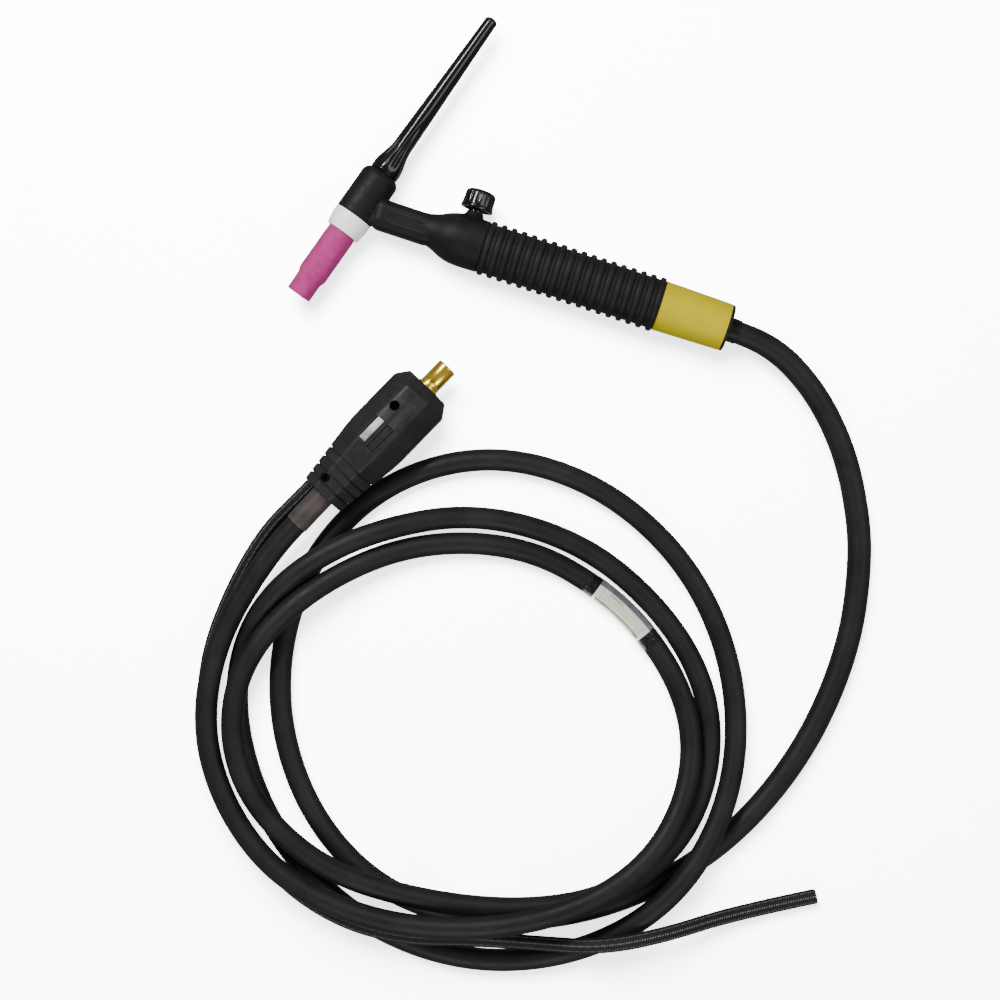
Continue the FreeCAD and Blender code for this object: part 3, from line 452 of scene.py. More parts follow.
# The same routes as the CAD solids, in metres.
CABLE_ROUTE = [
    (0.106, -0.036, 0.0175), (0.132, -0.036, 0.0175), (0.167, -0.038, 0.0152), (0.198, -0.054, 0.0105),
    (0.223, -0.077, 0.008), (0.243, -0.105, 0.007), (0.262, -0.146, 0.007), (0.273, -0.209, 0.007),
    (0.264, -0.283, 0.007), (0.233, -0.352, 0.007), (0.181, -0.406, 0.007), (0.114, -0.439, 0.007),
    (0.041, -0.443, 0.007), (-0.022, -0.408, 0.007), (-0.064, -0.345, 0.007), (-0.073, -0.269, 0.007),
    (-0.045, -0.2, 0.007), (0.015, -0.157, 0.007), (0.089, -0.153, 0.007), (0.159, -0.183, 0.007),
    (0.209, -0.239, 0.008), (0.231, -0.311, 0.016), (0.217, -0.384, 0.0245), (0.17, -0.441, 0.009),
    (0.101, -0.469, 0.007), (0.025, -0.463, 0.007), (-0.04, -0.426, 0.007), (-0.081, -0.372, 0.007),
    (-0.094, -0.319, 0.009), (-0.08, -0.272, 0.0215), (-0.041, -0.229, 0.0215), (0.02, -0.195, 0.008),
    (0.092, -0.192, 0.007), (0.155, -0.218, 0.007), (0.197, -0.257, 0.007), (0.214, -0.306, 0.008),
    (0.208, -0.356, 0.0135), (0.177, -0.397, 0.0195), (0.129, -0.422, 0.0215), (0.068, -0.436, 0.022),
    (0.002, -0.438, 0.022), (-0.054, -0.413, 0.022), (-0.083, -0.374, 0.022), (-0.088, -0.326, 0.0225),
    (-0.063, -0.273, 0.023), (-0.012, -0.226, 0.009), (0.057, -0.205, 0.007), (0.12, -0.218, 0.007),
    (0.167, -0.247, 0.008), (0.195, -0.283, 0.014), (0.203, -0.327, 0.021), (0.191, -0.372, 0.03),
    (0.156, -0.411, 0.036), (0.103, -0.441, 0.0345), (0.041, -0.456, 0.032), (-0.02, -0.451, 0.027),
    (-0.067, -0.423, 0.019), (-0.099, -0.379, 0.0175), (-0.108, -0.323, 0.0175), (-0.095, -0.264, 0.02),
    (-0.0756, -0.222, 0.0247), (-0.0643, -0.1988, 0.0247),
]
HOSE_ROUTE = [
    (-0.0732, -0.1942, 0.0163), (-0.085, -0.2185, 0.0163), (-0.101, -0.248, 0.007), (-0.11, -0.289, 0.00475),
    (-0.112, -0.337, 0.00475), (-0.098, -0.384, 0.00475), (-0.066, -0.427, 0.005), (-0.022, -0.454, 0.014),
    (0.021, -0.464, 0.022), (0.063, -0.462, 0.02), (0.104, -0.451, 0.01), (0.144, -0.44, 0.014),
    (0.179, -0.428, 0.028), (0.214, -0.409, 0.0275), (0.256, -0.385, 0.00475), (0.302, -0.3585, 0.00475),
]


def route_curve(name, route, thickness=()):
    """Smooth NURBS line through a route; thickness scales the tube at its first control points."""
    curve = bpy.data.curves.new(name, "CURVE")
    curve.dimensions = "3D"
    spline = curve.splines.new("NURBS")
    spline.points.add(len(route) - 1)
    for point, place in zip(spline.points, route):
        point.co = (*place, 1)
    for point, scale in zip(spline.points, thickness):
        point.radius = scale
    spline.order_u = 3
    spline.use_endpoint_u = True
    spline.resolution_u = ROUTE_RESOLUTION
    curve.resolution_u = ROUTE_RESOLUTION
    made = bpy.data.objects.new(name, curve)
    bpy.context.collection.objects.link(made)
    return made


def line_points(curve_object):
    """Points along the smooth line of a curve that has no bevel."""
    depsgraph = bpy.context.evaluated_depsgraph_get()
    mesh = bpy.data.meshes.new_from_object(curve_object.evaluated_get(depsgraph))
    return [vertex.co.copy() for vertex in mesh.vertices]


def walked(points):
    """Distance of each point along the line, in metres."""
    distances = [0.0]
    for before, here in zip(points, points[1:]):
        distances.append(distances[-1] + (here - before).length)
    return distances


def stations(points, low, high, step):
    """Evenly spaced (distance, place, direction) along part of a line."""
    distances = walked(points)
    count = max(2, round((high - low) / step))
    found = []
    j = 0
    for i in range(count + 1):
        distance = low + (high - low) * i / count
        while j < len(points) - 2 and distances[j + 1] < distance:
            j += 1
        share = (distance - distances[j]) / (distances[j + 1] - distances[j])
        place = points[j].lerp(points[j + 1], share)
        found.append((distance, place, (points[j + 1] - points[j]).normalized()))
    return found


def sleeve_mesh(rows, around, radius_at, bore=None, choose=None, mark=None, blind_rows=()):
    """Tube along stations.

    A bore runs its whole length, or only along blind_rows; choose gives each outer face its material, and
    mark gives each outer point its light-yarn value.
    """
    bm = bmesh.new()
    marks = bm.verts.layers.float.new("fleck")

    def ring(place, direction, reach, mark_at=None):
        side = UP.cross(direction).normalized()
        top = direction.cross(side)
        found = []
        for i in range(around):
            angle = 2 * math.pi * i / around
            away = top * math.cos(angle) + side * math.sin(angle)
            found.append(bm.verts.new(place + away * reach(angle)))
            if mark_at:
                found[-1][marks] = mark_at(angle)
        return found

    outer = []
    for distance, place, direction in rows:
        marker = (lambda angle, at=distance: mark(at, angle)) if mark else None
        outer.append(ring(place, direction, lambda angle, at=distance: radius_at(at, angle), marker))
    rings = list(outer)
    if bore:
        rings += [ring(place, direction, lambda angle: bore) for _, place, direction in
                  reversed(blind_rows or rows)]
    if bore and not blind_rows:
        rings.append(rings[0])
    for number, (first, second) in enumerate(zip(rings, rings[1:])):
        for i in range(around):
            j = (i + 1) % around
            face = bm.faces.new((first[i], first[j], second[j], second[i]))
            if choose and number < len(outer) - 1:
                face.material_index = choose(rows[number][0], 2 * math.pi * (i + 0.5) / around)
    if blind_rows or not bore:
        bm.faces.new(rings[0])
        bm.faces.new(rings[-1])
    return to_mesh(bm)


# The cable is a little thicker on its first run from the handle.
FIRST_RUN_THICKNESS = [1.0, 1.0] + [1.08] * 7 + [1.04, 1.0]

cable = route_curve("cable", CABLE_ROUTE, FIRST_RUN_THICKNESS)
cable_line = line_points(cable)
cable_total = walked(cable_line)[-1]
cable.data.bevel_depth = CABLE_DIAMETER / 2
cable.data.bevel_resolution = CABLE_SIDES
cable.data.use_fill_caps = True
cable.data.materials.append(materials["cable_rubber"])
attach(cable, "torch")
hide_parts("power_cable")

HOSE_AROUND = 80
HOSE_STEP = 0.0003
BRAID_YARNS = 20
BRAID_PITCH = 0.016
BRAID_DEPTH = 0.00018
HOSE_BORE = 0.0026
HOSE_BORE_DEPTH = 0.02
HOSE_BORE_STEP = 0.002
HOSE_END_RUN = 0.0008
HOSE_END_DROP = 0.0004
FLECK_ROWS = 5
FLECK_HEIGHT = 0.7


def braid_cell(distance, angle):
    """Numbers of the two yarns that cross at a point, and the height of the upper one from 0 to 1."""
    turn = BRAID_YARNS * angle / (2 * math.pi)
    climb = BRAID_YARNS * distance / BRAID_PITCH / 2
    one = math.floor(turn + climb)
    other = math.floor(turn - climb)
    upper = turn + climb if (one + other) % 2 else turn - climb
    return one, other, abs(math.sin(math.pi * upper))


def braid_fleck(distance, angle):
    """Light yarn where it comes to the top, in rows along the hose."""
    one, other, height = braid_cell(distance, angle)
    return 1.0 if (one + other) % FLECK_ROWS == 0 and height > FLECK_HEIGHT else 0.0


def make_hose():
    """Braided hose with an open end."""
    line_object = route_curve("hose_line", HOSE_ROUTE)
    line = line_points(line_object)
    bpy.data.objects.remove(line_object)
    total = walked(line)[-1]
    outer = HOSE_DIAMETER / 2

    def reach(distance, angle):
        height = braid_cell(distance, angle)[2]
        end_round = HOSE_END_DROP * max(0.0, 1 - (total - distance) / HOSE_END_RUN)
        return outer - BRAID_DEPTH * (1 - height) - end_round

    bore_rows = stations(line, total - HOSE_BORE_DEPTH, total, HOSE_BORE_STEP)
    mesh = sleeve_mesh(stations(line, 0.0, total, HOSE_STEP), HOSE_AROUND, reach, bore=HOSE_BORE,
                       mark=braid_fleck, blind_rows=bore_rows)
    return piece("hose_braided", mesh, "hose_braid", stands_for=["gas_hose"], crease=60), line


hose, hose_line = make_hose()


# Spans along the cable, in metres from its start; layer heights are over the cable's own surface.
LABEL_SPAN = (2.8985, 2.9405)
LABEL_STEP = 0.00025
LABEL_HEIGHT = 0.00022
LABEL_BITE = 0.0002
FILM_SPAN = (2.8915, 2.9485)
FILM_STEP = 0.0004
FILM_CLEAR = 0.00024
FILM_HEIGHT = 0.00036
FILM_CRINKLE = 0.00022
FILM_LOOSE_RUN = 0.009
SHRINK_FROM_END = (0.042, 0.014)
SHRINK_HEIGHT = 0.00055
SHRINK_CRINKLE = 0.00006
EXIT_SPAN = (0.018, 0.036)
EXIT_HEIGHT = 0.00072
TUBE_STEP = 0.0006
TUBE_BITE = 0.0001

# Angles round the cable are in degrees from its top; runs along the label are in millimetres.
STRIP_TURN = (284, 318)
STRIP_RUN = (2, 40)
DASH_TURN = (295, 303)
DASH_RUN = (9, 36)
DASH_PITCH = 2.4
DASH_LENGTH = 1.3
TICK_TURN = (10, 22)
TICK_RUN = (8.5, 18.5)
TICK_PITCH = 1.3
TICK_LENGTH = 0.55
BAND_TURN = (28, 100)
CROSS_LINES = (4.2, 38.2)
CROSS_LINE_HALF = 0.16
CREAM, GREY, DARK = 0, 1, 2


def inside(value, span):
    """Whether a value lies within a span."""
    return span[0] < value < span[1]


def print_choice(distance, angle):
    """Grey band on the outside of the loop, dark strip on the inside, plain ticks and lines between."""
    turn = math.degrees(angle)
    along = (distance - LABEL_SPAN[0]) / MM
    if inside(turn, STRIP_TURN) and inside(along, STRIP_RUN):
        dash = inside(turn, DASH_TURN) and inside(along, DASH_RUN) and along % DASH_PITCH < DASH_LENGTH
        return CREAM if dash else DARK
    if inside(turn, TICK_TURN) and inside(along, TICK_RUN) and along % TICK_PITCH < TICK_LENGTH:
        return DARK
    on_cross_line = any(abs(along - line) < CROSS_LINE_HALF for line in CROSS_LINES)
    return GREY if inside(turn, BAND_TURN) or on_cross_line else CREAM


def make_cable_trim():
    """Sleeves and label that lie round the cable."""
    radius = CABLE_DIAMETER / 2

    def film_reach(distance, angle):
        edge = min(distance - FILM_SPAN[0], FILM_SPAN[1] - distance)
        loose = 1.0 - min(1.0, edge / FILM_LOOSE_RUN)
        place = Vector((distance * 420, math.cos(angle) * 3.1, math.sin(angle) * 3.1))
        return radius + FILM_HEIGHT + FILM_CRINKLE * loose * (0.6 + noise.noise(place))

    def shrink_reach(distance, angle):
        place = Vector((distance * 300, angle * 1.5, 0))
        return radius + SHRINK_HEIGHT + SHRINK_CRINKLE * noise.noise(place)

    label = sleeve_mesh(stations(cable_line, *LABEL_SPAN, LABEL_STEP), 180,
                        lambda distance, angle: radius + LABEL_HEIGHT, bore=radius - LABEL_BITE,
                        choose=print_choice)
    for material in (materials["label_print"], label_grey, label_black):
        label.materials.append(material)
    film = sleeve_mesh(stations(cable_line, *FILM_SPAN, FILM_STEP), 120, film_reach,
                       bore=radius + FILM_CLEAR)
    shrink_start, shrink_end = (cable_total - back for back in SHRINK_FROM_END)
    shrink = sleeve_mesh(stations(cable_line, shrink_start, shrink_end, TUBE_STEP), 96, shrink_reach,
                         bore=radius - TUBE_BITE)
    exit_sleeve = sleeve_mesh(stations(cable_line, *EXIT_SPAN, TUBE_STEP), 96,
                              lambda distance, angle: radius + EXIT_HEIGHT, bore=radius - TUBE_BITE)
    return [
        piece("label", label, "label_print", stands_for=["cable_label"]),
        piece("label_film", film, "clear_sleeve", stands_for=["label_sleeve"]),
        piece("shrink_tube", shrink, "brown_shrink", stands_for=["plug_shrink_sleeve"]),
        piece("exit_tube", exit_sleeve, "black_plastic", stands_for=["cable_exit_sleeve"]),
    ]


cable_trim = make_cable_trim()


# ---- torch head ----

# Profiles are (radius, height along the piece's axis, optional corner rounding).
NOZZLE_PROFILE = [
    (6.6, -19.85, 0.3), (9.2, -19.85, 0.4), (9.45, -21.0, 0.3), (9.15, -21.4, 0.15), (9.5, -21.9, 0.3),
    (9.5, -52.2, 1.6), (8.25, -55.2, 1.0), (8.2, -67.3, 0.7), (5.5, -67.3, 0.5), (5.5, -55.0, 1.0),
    (6.6, -51.0, 1.0), (6.6, -19.85, 0.3),
]
SHIELD_PROFILE = [
    (6.62, -19.65, 0.2), (10.9, -19.65, 0.4), (11.35, -18.9, 0.4), (12.35, -13.2, 2.0), (12.5, -7.0, 0.3),
    (6.62, -7.0, 0.2),
]


def make_gas_nozzle():
    """Fired ceramic nozzle: lipped top, straight barrel, rounded step, narrower mouth."""
    mesh = lathe(rounded(NOZZLE_PROFILE), HEAD, 160)
    return piece("nozzle_body", mesh, "pink_ceramic", "nozzle", ["gas_nozzle"])


def make_heat_shield():
    """White ring that tapers towards the nozzle."""
    mesh = lathe(rounded(SHIELD_PROFILE), HEAD, 144)
    return piece("shield_ring", mesh, "white_ptfe", "nozzle_carrier", ["heat_shield"])


CAP_BASE_PROFILE = [(0, 8.5), (5.98, 8.5, 0.3), (5.98, 25.5, 0.1), (9.3, 25.5, 0.35), (9.6, 27.6, 0.9)]
CAP_THROAT_START = 28.2
CAP_THROAT_LENGTH = 17.8
CAP_THROAT_RADIUS = 9.6
CAP_THROAT_TAPER = 3.2
CAP_THROAT_STEPS = 24
CAP_STEM_START = 46.0
CAP_STEM_LENGTH = 96.0
CAP_STEM_RADIUS = 6.4
CAP_STEM_TAPER = 2.3
CAP_STEM_STEPS = 40
CAP_TIP_RADIUS = 4.1
CAP_TIP_START = 142.0
CAP_TIP_LENGTH = 2.2
CAP_TIP_STEPS = 8
CAP_FLUTES = 6
CAP_FLUTE_DEPTH = 1.05
CAP_FLUTE_START = 27.0
CAP_FLUTE_RISE = 6.0
CAP_FLUTE_END = 74.0
CAP_FLUTE_FADE = 36.0
CAP_FLUTE_TURN = 0.6


def cap_shape(radius, height, angle):
    """Finger flutes that start above the cap's base and fade out along its stem."""
    rise = min(1.0, max(0.0, (height - CAP_FLUTE_START) / CAP_FLUTE_RISE))
    fade = min(1.0, max(0.0, (CAP_FLUTE_END - height) / CAP_FLUTE_FADE))
    depth = CAP_FLUTE_DEPTH * rise * fade ** 1.5
    wave = 0.5 + 0.5 * math.cos(CAP_FLUTES * angle + CAP_FLUTE_TURN)
    return radius - depth * wave ** 2.2 if radius > 2.0 else radius


def make_back_cap():
    """Polished long cap: round base, fluted throat, slender tapered stem with a round tip."""
    outline = list(rounded(CAP_BASE_PROFILE))
    for i in range(1, CAP_THROAT_STEPS + 1):
        t = i / CAP_THROAT_STEPS
        ease = t * t * (3 - 2 * t)
        radius = CAP_THROAT_RADIUS - CAP_THROAT_TAPER * ease
        outline.append((radius, CAP_THROAT_START + CAP_THROAT_LENGTH * t))
    for i in range(1, CAP_STEM_STEPS + 1):
        t = i / CAP_STEM_STEPS
        radius = CAP_STEM_RADIUS - CAP_STEM_TAPER * t ** 0.9
        outline.append((radius, CAP_STEM_START + CAP_STEM_LENGTH * t))
    for i in range(1, CAP_TIP_STEPS):
        angle = math.pi / 2 * i / CAP_TIP_STEPS
        outline.append((CAP_TIP_RADIUS * math.cos(angle), CAP_TIP_START + CAP_TIP_LENGTH * math.sin(angle)))
    outline.append((0, CAP_TIP_START + CAP_TIP_LENGTH))
    mesh = lathe(outline, HEAD, 144, cap_shape)
    return piece("cap_polished", mesh, "gloss_black", "cap", ["back_cap"], 50)


BADGE_CENTRE = (-49.6, -1.0)
BADGE_LENGTH = 28.0
BADGE_WIDTH = 8.0
BADGE_FOOT = 9.0
BADGE_TOP = 9.9
BADGE_STEPS = 24


def make_badge(matrix):
    """Low blank rim of straight sides and round ends, on top of the neck."""
    bm = bmesh.new()
    rings = [[], [], [], []]
    half_width = BADGE_WIDTH / 2
    straight = (BADGE_LENGTH - BADGE_WIDTH) / 2
    levels = ((half_width, BADGE_FOOT), (half_width - 0.25, BADGE_TOP), (half_width - 0.75, BADGE_TOP),
              (half_width - 1.0, BADGE_FOOT))
    for end in (1, -1):
        for k in range(BADGE_STEPS + 1):
            angle = -math.pi / 2 + math.pi * k / BADGE_STEPS
            for ring, (radius, height) in zip(rings, levels):
                along = end * (straight + radius * math.cos(angle)) + BADGE_CENTRE[0]
                across = end * radius * math.sin(angle) + BADGE_CENTRE[1]
                ring.append(bm.verts.new(matrix @ Vector((across, height, along))))
    count = len(rings[0])
    for ring, following in zip(rings, rings[1:] + rings[:1]):
        for i in range(count):
            j = (i + 1) % count
            bm.faces.new((ring[i], ring[j], following[j], following[i]))
    return to_mesh(bm)


HEAD_PROFILE = [(0, -6.9), (12.5, -6.9, 0.4), (12.5, 22.0, 4.5), (9.4, 25.3, 1.2), (0, 25.3)]
HOUSING_PROFILE = [
    (0, -42.0), (9.3, -42.0, 1.0), (9.7, -37.5, 3.0), (11.4, -31.5, 4.0), (14.4, -25.5, 5.0),
    (16.3, -19.0, 5.0), (16.6, -11.0, 3.0), (16.35, 0.0, 0.4), (14.4, 0.0), (14.4, 14.0, 0.4), (0, 14.0),
]
VALVE_BOSS_PROFILE = [(0, 0), (8.4, 0), (8.2, 14.4, 2.5), (5.7, 17.4, 1.5), (5.4, 19.4, 0.3), (0, 19.4)]
NECK_SIZE = (19.6, 19.0, 42.0)
NECK_CENTRE = (-0.8, 0, -52.1)
NECK_ROUNDING = 6.0
ROOT_SIZE = (16.0, 15.8, 16.0)
ROOT_CENTRE = (-0.8, 0, -75.0)
ROOT_ROUNDING = 3.0
MOULDING_VOXEL = 0.0004
MOULDING_SMOOTHING = 5

# Holes in the moulding, each (radius, low end, high end): the cap's mouth and bore, room for the
# shield, the collet body's bore; then the valve's bore.
HEAD_HOLES = ((8.1, 23.3, 30.0), (6.6, 5.0, 30.0), (12.9, -22.0, -6.9), (8.5, -12.0, 5.2))
VALVE_HOLE = (4.65, 12.0, 24.0)


def make_insulation():
    """One moulding over head, neck and valve, blended where its forms meet."""
    head = lathe(rounded(HEAD_PROFILE), HEAD, 120)
    neck = block(NECK_SIZE, NECK_CENTRE, HANDLE, NECK_ROUNDING)
    root = block(ROOT_SIZE, ROOT_CENTRE, HANDLE, ROOT_ROUNDING)
    housing = lathe(rounded(HOUSING_PROFILE), HANDLE, 120)
    boss = lathe(rounded(VALVE_BOSS_PROFILE), VALVE, 96)
    forms = joined(head, neck, root, housing, boss)
    body = with_modifier(forms, "REMESH", mode="VOXEL", voxel_size=MOULDING_VOXEL)
    body = with_modifier(body, "SMOOTH", factor=0.5, iterations=MOULDING_SMOOTHING)
    cutters = [rod(*hole, HEAD, steps=96) for hole in HEAD_HOLES]
    cutters.append(rod(*VALVE_HOLE, VALVE, steps=64))
    body = cut(body, *cutters)
    mesh = joined(body, make_badge(HANDLE))
    return piece("torch_moulding", mesh, "moulded_rubber", stands_for=["torch_insulation"], crease=42)


# ---- valve knob ----

KNOB_PROFILE = [
    (3.1, 21.9, 0.2), (5.3, 21.9, 0.3), (5.7, 24.4, 0.4), (8.1, 24.4, 0.4), (8.4, 20.85, 0.3),
    (10.3, 20.85, 0.4), (10.35, 22.3, 0.4), (9.95, 23.3, 0.3), (9.8, 27.0), (9.6, 31.6, 2.0),
    (7.2, 33.2, 1.5), (4.0, 33.6), (0, 33.7),
]
KNOB_BORE_PROFILE = [(0, 30.6), (3.1, 30.6)]
KNOB_FLUTES = 12
KNOB_FLUTE_DEPTH = 0.6
KNOB_FLUTE_START = 23.6
KNOB_FLUTE_RISE = 0.8
KNOB_FLUTED_FROM_RADIUS = 7.5


def knob_shape(radius, height, angle):
    """Finger flutes round the knob's side, above its skirt."""
    if radius < KNOB_FLUTED_FROM_RADIUS or height < KNOB_FLUTE_START:
        return radius
    wave = 0.5 + 0.5 * math.cos(KNOB_FLUTES * angle)
    depth = KNOB_FLUTE_DEPTH * min(1.0, (height - KNOB_FLUTE_START) / KNOB_FLUTE_RISE)
    return radius - depth * wave ** 4


def make_valve_knob():
    """Glossy fluted knob with a skirt and a slightly domed top."""
    outline = KNOB_BORE_PROFILE + rounded(KNOB_PROFILE)
    mesh = lathe(outline, VALVE, 240, knob_shape)
    return piece("knob_fluted", mesh, "gloss_black", "knob", ["valve_knob"], 40)


# ---- handle ----

GRIP_LENGTH = 116.0
GRIP_BORE_RADIUS = 14.45
GRIP_RIDGES = 18
GRIP_GROOVE_RADIUS = 15.6
GRIP_RIDGE_RADIUS = 17.45
RIDGE_STEPS = 14
FIRST_RIDGE = 2.3
RIDGE_HALF = 2.1
VALLEY_CROWN = 0.22
GRIP_UNEVENNESS = 0.07


def grip_outline():
    """Rounded ridges that stand up from a slightly crowned valley between them."""
    pitch = (GRIP_LENGTH - 2 * FIRST_RIDGE) / (GRIP_RIDGES - 1)
    outline = [(GRIP_BORE_RADIUS, GRIP_LENGTH), (GRIP_BORE_RADIUS, 0.0)]
    for ridge in range(GRIP_RIDGES):
        centre = FIRST_RIDGE + ridge * pitch
        for k in range(RIDGE_STEPS + 1):
            offset = 2 * k / RIDGE_STEPS - 1
            rise = math.sqrt(max(0.0, 1 - abs(offset) ** 2.4))
            radius = GRIP_GROOVE_RADIUS + (GRIP_RIDGE_RADIUS - GRIP_GROOVE_RADIUS) * rise
            outline.append((radius, centre + offset * RIDGE_HALF))
        if ridge < GRIP_RIDGES - 1:
            outline.append((GRIP_GROOVE_RADIUS + VALLEY_CROWN, centre + pitch / 2))
    outline.append((GRIP_GROOVE_RADIUS, GRIP_LENGTH))
    return outline


def make_grip():
    """Soft corrugated grip with a trace of unevenness from moulding."""
    def shape(radius, height, angle):
        place = Vector((height * 0.12, math.cos(angle) * 1.6, math.sin(angle) * 1.6))
        return radius - GRIP_UNEVENNESS * (0.5 + noise.noise(place)) if radius > 15 else radius

    mesh = lathe(grip_outline(), HANDLE, 180, shape)
    return piece("grip_corrugated", mesh, "grip_rubber", stands_for=["grip_handle"], crease=60)


COLLAR_PROFILE = [
    (12.55, 104.1, 0.2), (14.35, 104.1, 0.4), (14.35, 116.05, 0.1), (15.9, 116.05, 0.35),
    (15.45, 140.0, 8.0), (15.0, 159.9, 0.5), (12.55, 159.9, 0.2),
]
END_CAP_PROFILE = [
    (7.8, 150.2, 0.1), (12.45, 150.2, 0.2), (12.45, 160.05, 0.1), (14.9, 160.05, 0.2), (14.9, 161.4, 0.5),
    (13.4, 162.0, 0.6), (9.4, 161.2, 0.5), (8.6, 161.9, 0.4), (7.8, 161.6, 0.2),
]


def make_collar():
    """Yellow end collar with softened edges."""
    mesh = lathe(rounded(COLLAR_PROFILE), HANDLE, 160)
    return piece("collar_yellow", mesh, "yellow_plastic", stands_for=["collar_ring"])


def make_end_cap():
    """Thin black rim behind the collar, dished towards the cable."""
    mesh = lathe(rounded(END_CAP_PROFILE), HANDLE, 144)
    return piece("collar_rim", mesh, "black_plastic", stands_for=["handle_end_cap"])


# ---- plug ----

BOOT_LENGTH = 93.5
BOOT_REAR = 15.0
BOOT_FULL = 20.45
BOOT_TAPER_END = 46.0
BOOT_SHOULDER = 85.4
BOOT_FRONT = 14.9
BOOT_GROOVES = (6.2, 12.5, 18.5, 25.2)
GROOVE_DEPTH = 1.3
GROOVE_HALF = 0.75
GROOVE_FLOOR_HALF = 0.5
GROOVE_EDGE = 0.15
BOOT_EDGE_REACH = 1.07
BOOT_EDGE_SHARPNESS = 90
SIDE_SPAN = math.pi / 4

# (sideways place, width, start along the plug, end along the plug)
WINDOWS = {"bright": (-5.5, 5.2, 42.0, 60.0), "dark": (2.3, 5.6, 40.8, 59.5)}
WINDOW_FLOOR = 18.0
WINDOW_CUT_HEIGHT = 5.0
PANE_GAP = 0.5
PANE_THICKNESS = 1.7
PANE_CENTRE = 0.75
RECESS_SIZE = (2.8, 5.0, 17.0)
RECESS_PLACE = (9.3, 50.6)

# (sideways place, place along the plug, height of the hole's foot)
SET_SCREWS = ((-5.5, 71.0, 10.9), (-5.5, 9.2, 11.5))
SET_SCREW_HOLE = 3.15
SHELL_SCREWS = ((14.5, 78.0), (-14.5, 78.0))
SHELL_SCREW_HOLE = 3.3
CLEAR_OF_BOOT = 26.0
CABLE_HOLE = 7.85
CABLE_HOLE_AT = (-0.6, 4.2)
HOSE_HOLE = 4.9
HOSE_HOLE_AT = (9.4, -4.2)
PIN_HOLE = 7.45
SPLIT_GAP = 0.04


def boot_shape(radius, height, angle):
    """Eight flat sides that meet in rounded edges."""
    across = (angle + SIDE_SPAN / 2) % SIDE_SPAN - SIDE_SPAN / 2
    flat = radius / math.cos(across)
    limit = radius * BOOT_EDGE_REACH
    blend = flat ** -BOOT_EDGE_SHARPNESS + limit ** -BOOT_EDGE_SHARPNESS
    return blend ** (-1 / BOOT_EDGE_SHARPNESS)


def boot_width(height):
    """Half width of the boot from its rear face to its middle."""
    return BOOT_REAR + (BOOT_FULL - BOOT_REAR) * min(1.0, height / BOOT_TAPER_END)


def boot_outline():
    """Grooved tail, straight middle and chamfered front."""
    corners = [(0, 0), (boot_width(0), 0, 1.2)]
    for groove in BOOT_GROOVES:
        floor_radius = boot_width(groove) - GROOVE_DEPTH
        corners += [
            (boot_width(groove - GROOVE_HALF), groove - GROOVE_HALF, GROOVE_EDGE),
            (floor_radius, groove - GROOVE_FLOOR_HALF, GROOVE_EDGE),
            (floor_radius, groove + GROOVE_FLOOR_HALF, GROOVE_EDGE),
            (boot_width(groove + GROOVE_HALF), groove + GROOVE_HALF, GROOVE_EDGE),
        ]
    corners += [(BOOT_FULL, BOOT_TAPER_END, 6.0), (BOOT_FULL, BOOT_SHOULDER, 1.2),
                (BOOT_FRONT, BOOT_LENGTH, 0.8), (0, BOOT_LENGTH)]
    return rounded(corners)


def plug_upright(side, along):
    """Frame whose local Z stands square to the boot's top at a place on it."""
    return PLUG @ Matrix.Translation((-side, 0, along)) @ Matrix.Rotation(-math.pi / 2, 4, "X")


def halved(mesh, sign):
    """The part of the boot above or below its split plane, closed there."""
    bm = bmesh.new()
    bm.from_mesh(mesh)
    middle = PLUG_REAR + UP * sign * SPLIT_GAP * MM
    geometry = bm.verts[:] + bm.edges[:] + bm.faces[:]
    found = bmesh.ops.bisect_plane(bm, geom=geometry, plane_co=middle, plane_no=UP * -sign, clear_outer=True)
    rim = [item for item in found["geom_cut"] if isinstance(item, bmesh.types.BMEdge)]
    bmesh.ops.triangle_fill(bm, use_beauty=True, edges=rim)
    return to_mesh(bm)


def make_boot():
    """Both halves of the boot, with holes, windows and cable openings."""
    body = lathe(boot_outline(), PLUG, 320, boot_shape)
    cut_middle = WINDOW_FLOOR + WINDOW_CUT_HEIGHT / 2
    cutters = []
    for side, width, start, end in WINDOWS.values():
        centre = (-side, cut_middle, (start + end) / 2)
        cutters.append(block((width, WINDOW_CUT_HEIGHT, end - start), centre, PLUG, 0.35))
    recess_side, recess_along = RECESS_PLACE
    cutters.append(block(RECESS_SIZE, (recess_side, cut_middle, recess_along), PLUG, 0.3))
    for side, along, foot in SET_SCREWS:
        cutters.append(rod(SET_SCREW_HOLE, foot, CLEAR_OF_BOOT, plug_upright(side, along), steps=64))
    for side, along in SHELL_SCREWS:
        cutters.append(rod(SHELL_SCREW_HOLE, -CLEAR_OF_BOOT, -8.0, plug_upright(side, along), steps=64))
    cutters.append(rod(CABLE_HOLE, -3.0, 9.0, PLUG, at=CABLE_HOLE_AT, steps=80))
    cutters.append(rod(HOSE_HOLE, -3.0, 9.0, PLUG, at=HOSE_HOLE_AT, steps=64))
    cutters.append(rod(PIN_HOLE, BOOT_LENGTH - 4.0, BOOT_LENGTH + 3.0, PLUG, steps=96))
    body = cut(body, *cutters)
    upper = piece("boot_upper", halved(body, 1), "plug_rubber", stands_for=["plug_upper_shell"], crease=32)
    lower = piece("boot_lower", halved(body, -1), "plug_rubber", stands_for=["plug_lower_shell"], crease=32)
    return [upper, lower]


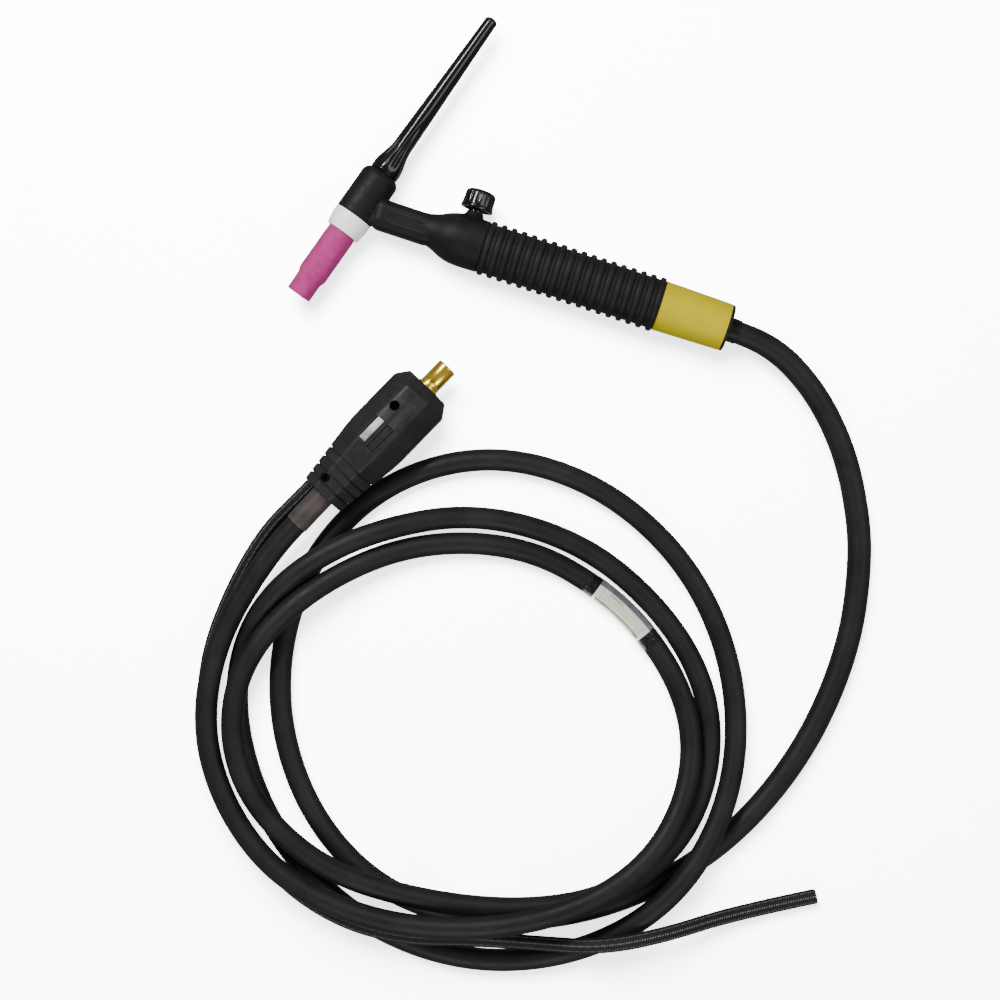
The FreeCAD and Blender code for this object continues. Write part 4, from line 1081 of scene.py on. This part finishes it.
def make_windows():
    """Two inserts sunk in the boot's top face."""
    made = []
    for name, slot_name in (("bright", "window_grey"), ("dark", "window_black")):
        side, width, start, end = WINDOWS[name]
        centre = (-side, WINDOW_FLOOR + PANE_CENTRE, (start + end) / 2)
        pane = block((width - PANE_GAP, PANE_THICKNESS, end - start - PANE_GAP), centre, PLUG, 0.4)
        made.append(piece("window_" + name, pane, slot_name, stands_for=["plug_window_" + name]))
    return made


PIN_RADIUS = 6.5
PIN_MARKS = (97.0, 97.6)
PIN_MARK_HALF = 0.12
PIN_MARK_DEPTH = 0.08
PIN_BASE_PROFILE = [(0, 50.0), (7.35, 50.0), (7.35, 94.2, 0.25), (6.7, 94.3, 0.1), (PIN_RADIUS, 94.8, 0.2)]
PIN_END_PROFILE = [(PIN_RADIUS, 110.7, 0.3), (5.9, 111.5, 0.3), (2.6, 111.5, 0.2), (2.2, 110.8, 0.2),
                   (0, 110.8)]


def make_pin():
    """Brass pin with its base ring, rounded edge and two tool marks."""
    corners = list(PIN_BASE_PROFILE)
    for mark in PIN_MARKS:
        corners += [(PIN_RADIUS, mark - PIN_MARK_HALF), (PIN_RADIUS - PIN_MARK_DEPTH, mark),
                    (PIN_RADIUS, mark + PIN_MARK_HALF)]
    corners += PIN_END_PROFILE
    return piece("pin_turned", lathe(rounded(corners), PLUG, 144), "brass", stands_for=["plug_pin"])


make_gas_nozzle()
make_heat_shield()
make_back_cap()
make_insulation()
make_valve_knob()
make_grip()
make_collar()
make_end_cap()
plug_pieces = make_boot() + make_windows() + [make_pin()]


# ---- stage ----

def add_light(name, place, target, size, power):
    """Rectangular soft light that faces a point."""
    data = bpy.data.lights.new(name, "AREA")
    data.shape = "RECTANGLE"
    data.size, data.size_y = size
    data.energy = power
    made = bpy.data.objects.new(name, data)
    made.location = place
    made.rotation_euler = (Vector(target) - Vector(place)).to_track_quat("-Z", "Y").to_euler()
    bpy.context.collection.objects.link(made)
    return made


STAGE_MIDDLE = (0.05, -0.2, 0.0)
WORLD_STRENGTH = 0.35
FLOOR_HALF = 3.0
FLOOR_DROP = 0.0007

add_light("key_light", (-0.85, 0.75, 1.35), STAGE_MIDDLE, (1.1, 0.8), 15)
add_light("fill_light", (1.05, 0.4, 1.3), STAGE_MIDDLE, (0.8, 1.3), 14)
add_light("low_light", (0.4, -1.4, 1.1), STAGE_MIDDLE, (1.2, 0.5), 18)
# A long narrow light gives the cap and the knob their bright streak.
add_light("window_light", (-0.8, 0.4, 1.1), (0.05, 0.2, 0.0), (0.6, 0.04), 20)

world = bpy.data.worlds.new("studio")
world.use_nodes = True
background = world.node_tree.nodes["Background"]
background.inputs["Color"].default_value = (1, 1, 1, 1)
background.inputs["Strength"].default_value = WORLD_STRENGTH
bpy.context.scene.world = world

floor_bm = bmesh.new()
bmesh.ops.create_grid(floor_bm, x_segments=8, y_segments=8, size=FLOOR_HALF)
floor = bpy.data.objects.new("floor", to_mesh(floor_bm))
floor.location = (0, 0, -FLOOR_DROP)
floor.data.materials.append(floor_white)
floor.visible_diffuse = False
floor.visible_glossy = False

# A strong soft light reaches the floor alone, so the floor is white while the black pieces stay black.
lit_floor = bpy.data.collections.new("lit_floor")
lit_floor.objects.link(floor)
floor_light = add_light("floor_light", (-0.5, 0.55, 1.5), STAGE_MIDDLE, (0.9, 0.9), 330)
floor_light.light_linking.receiver_collection = lit_floor
bpy.context.collection.objects.link(floor)
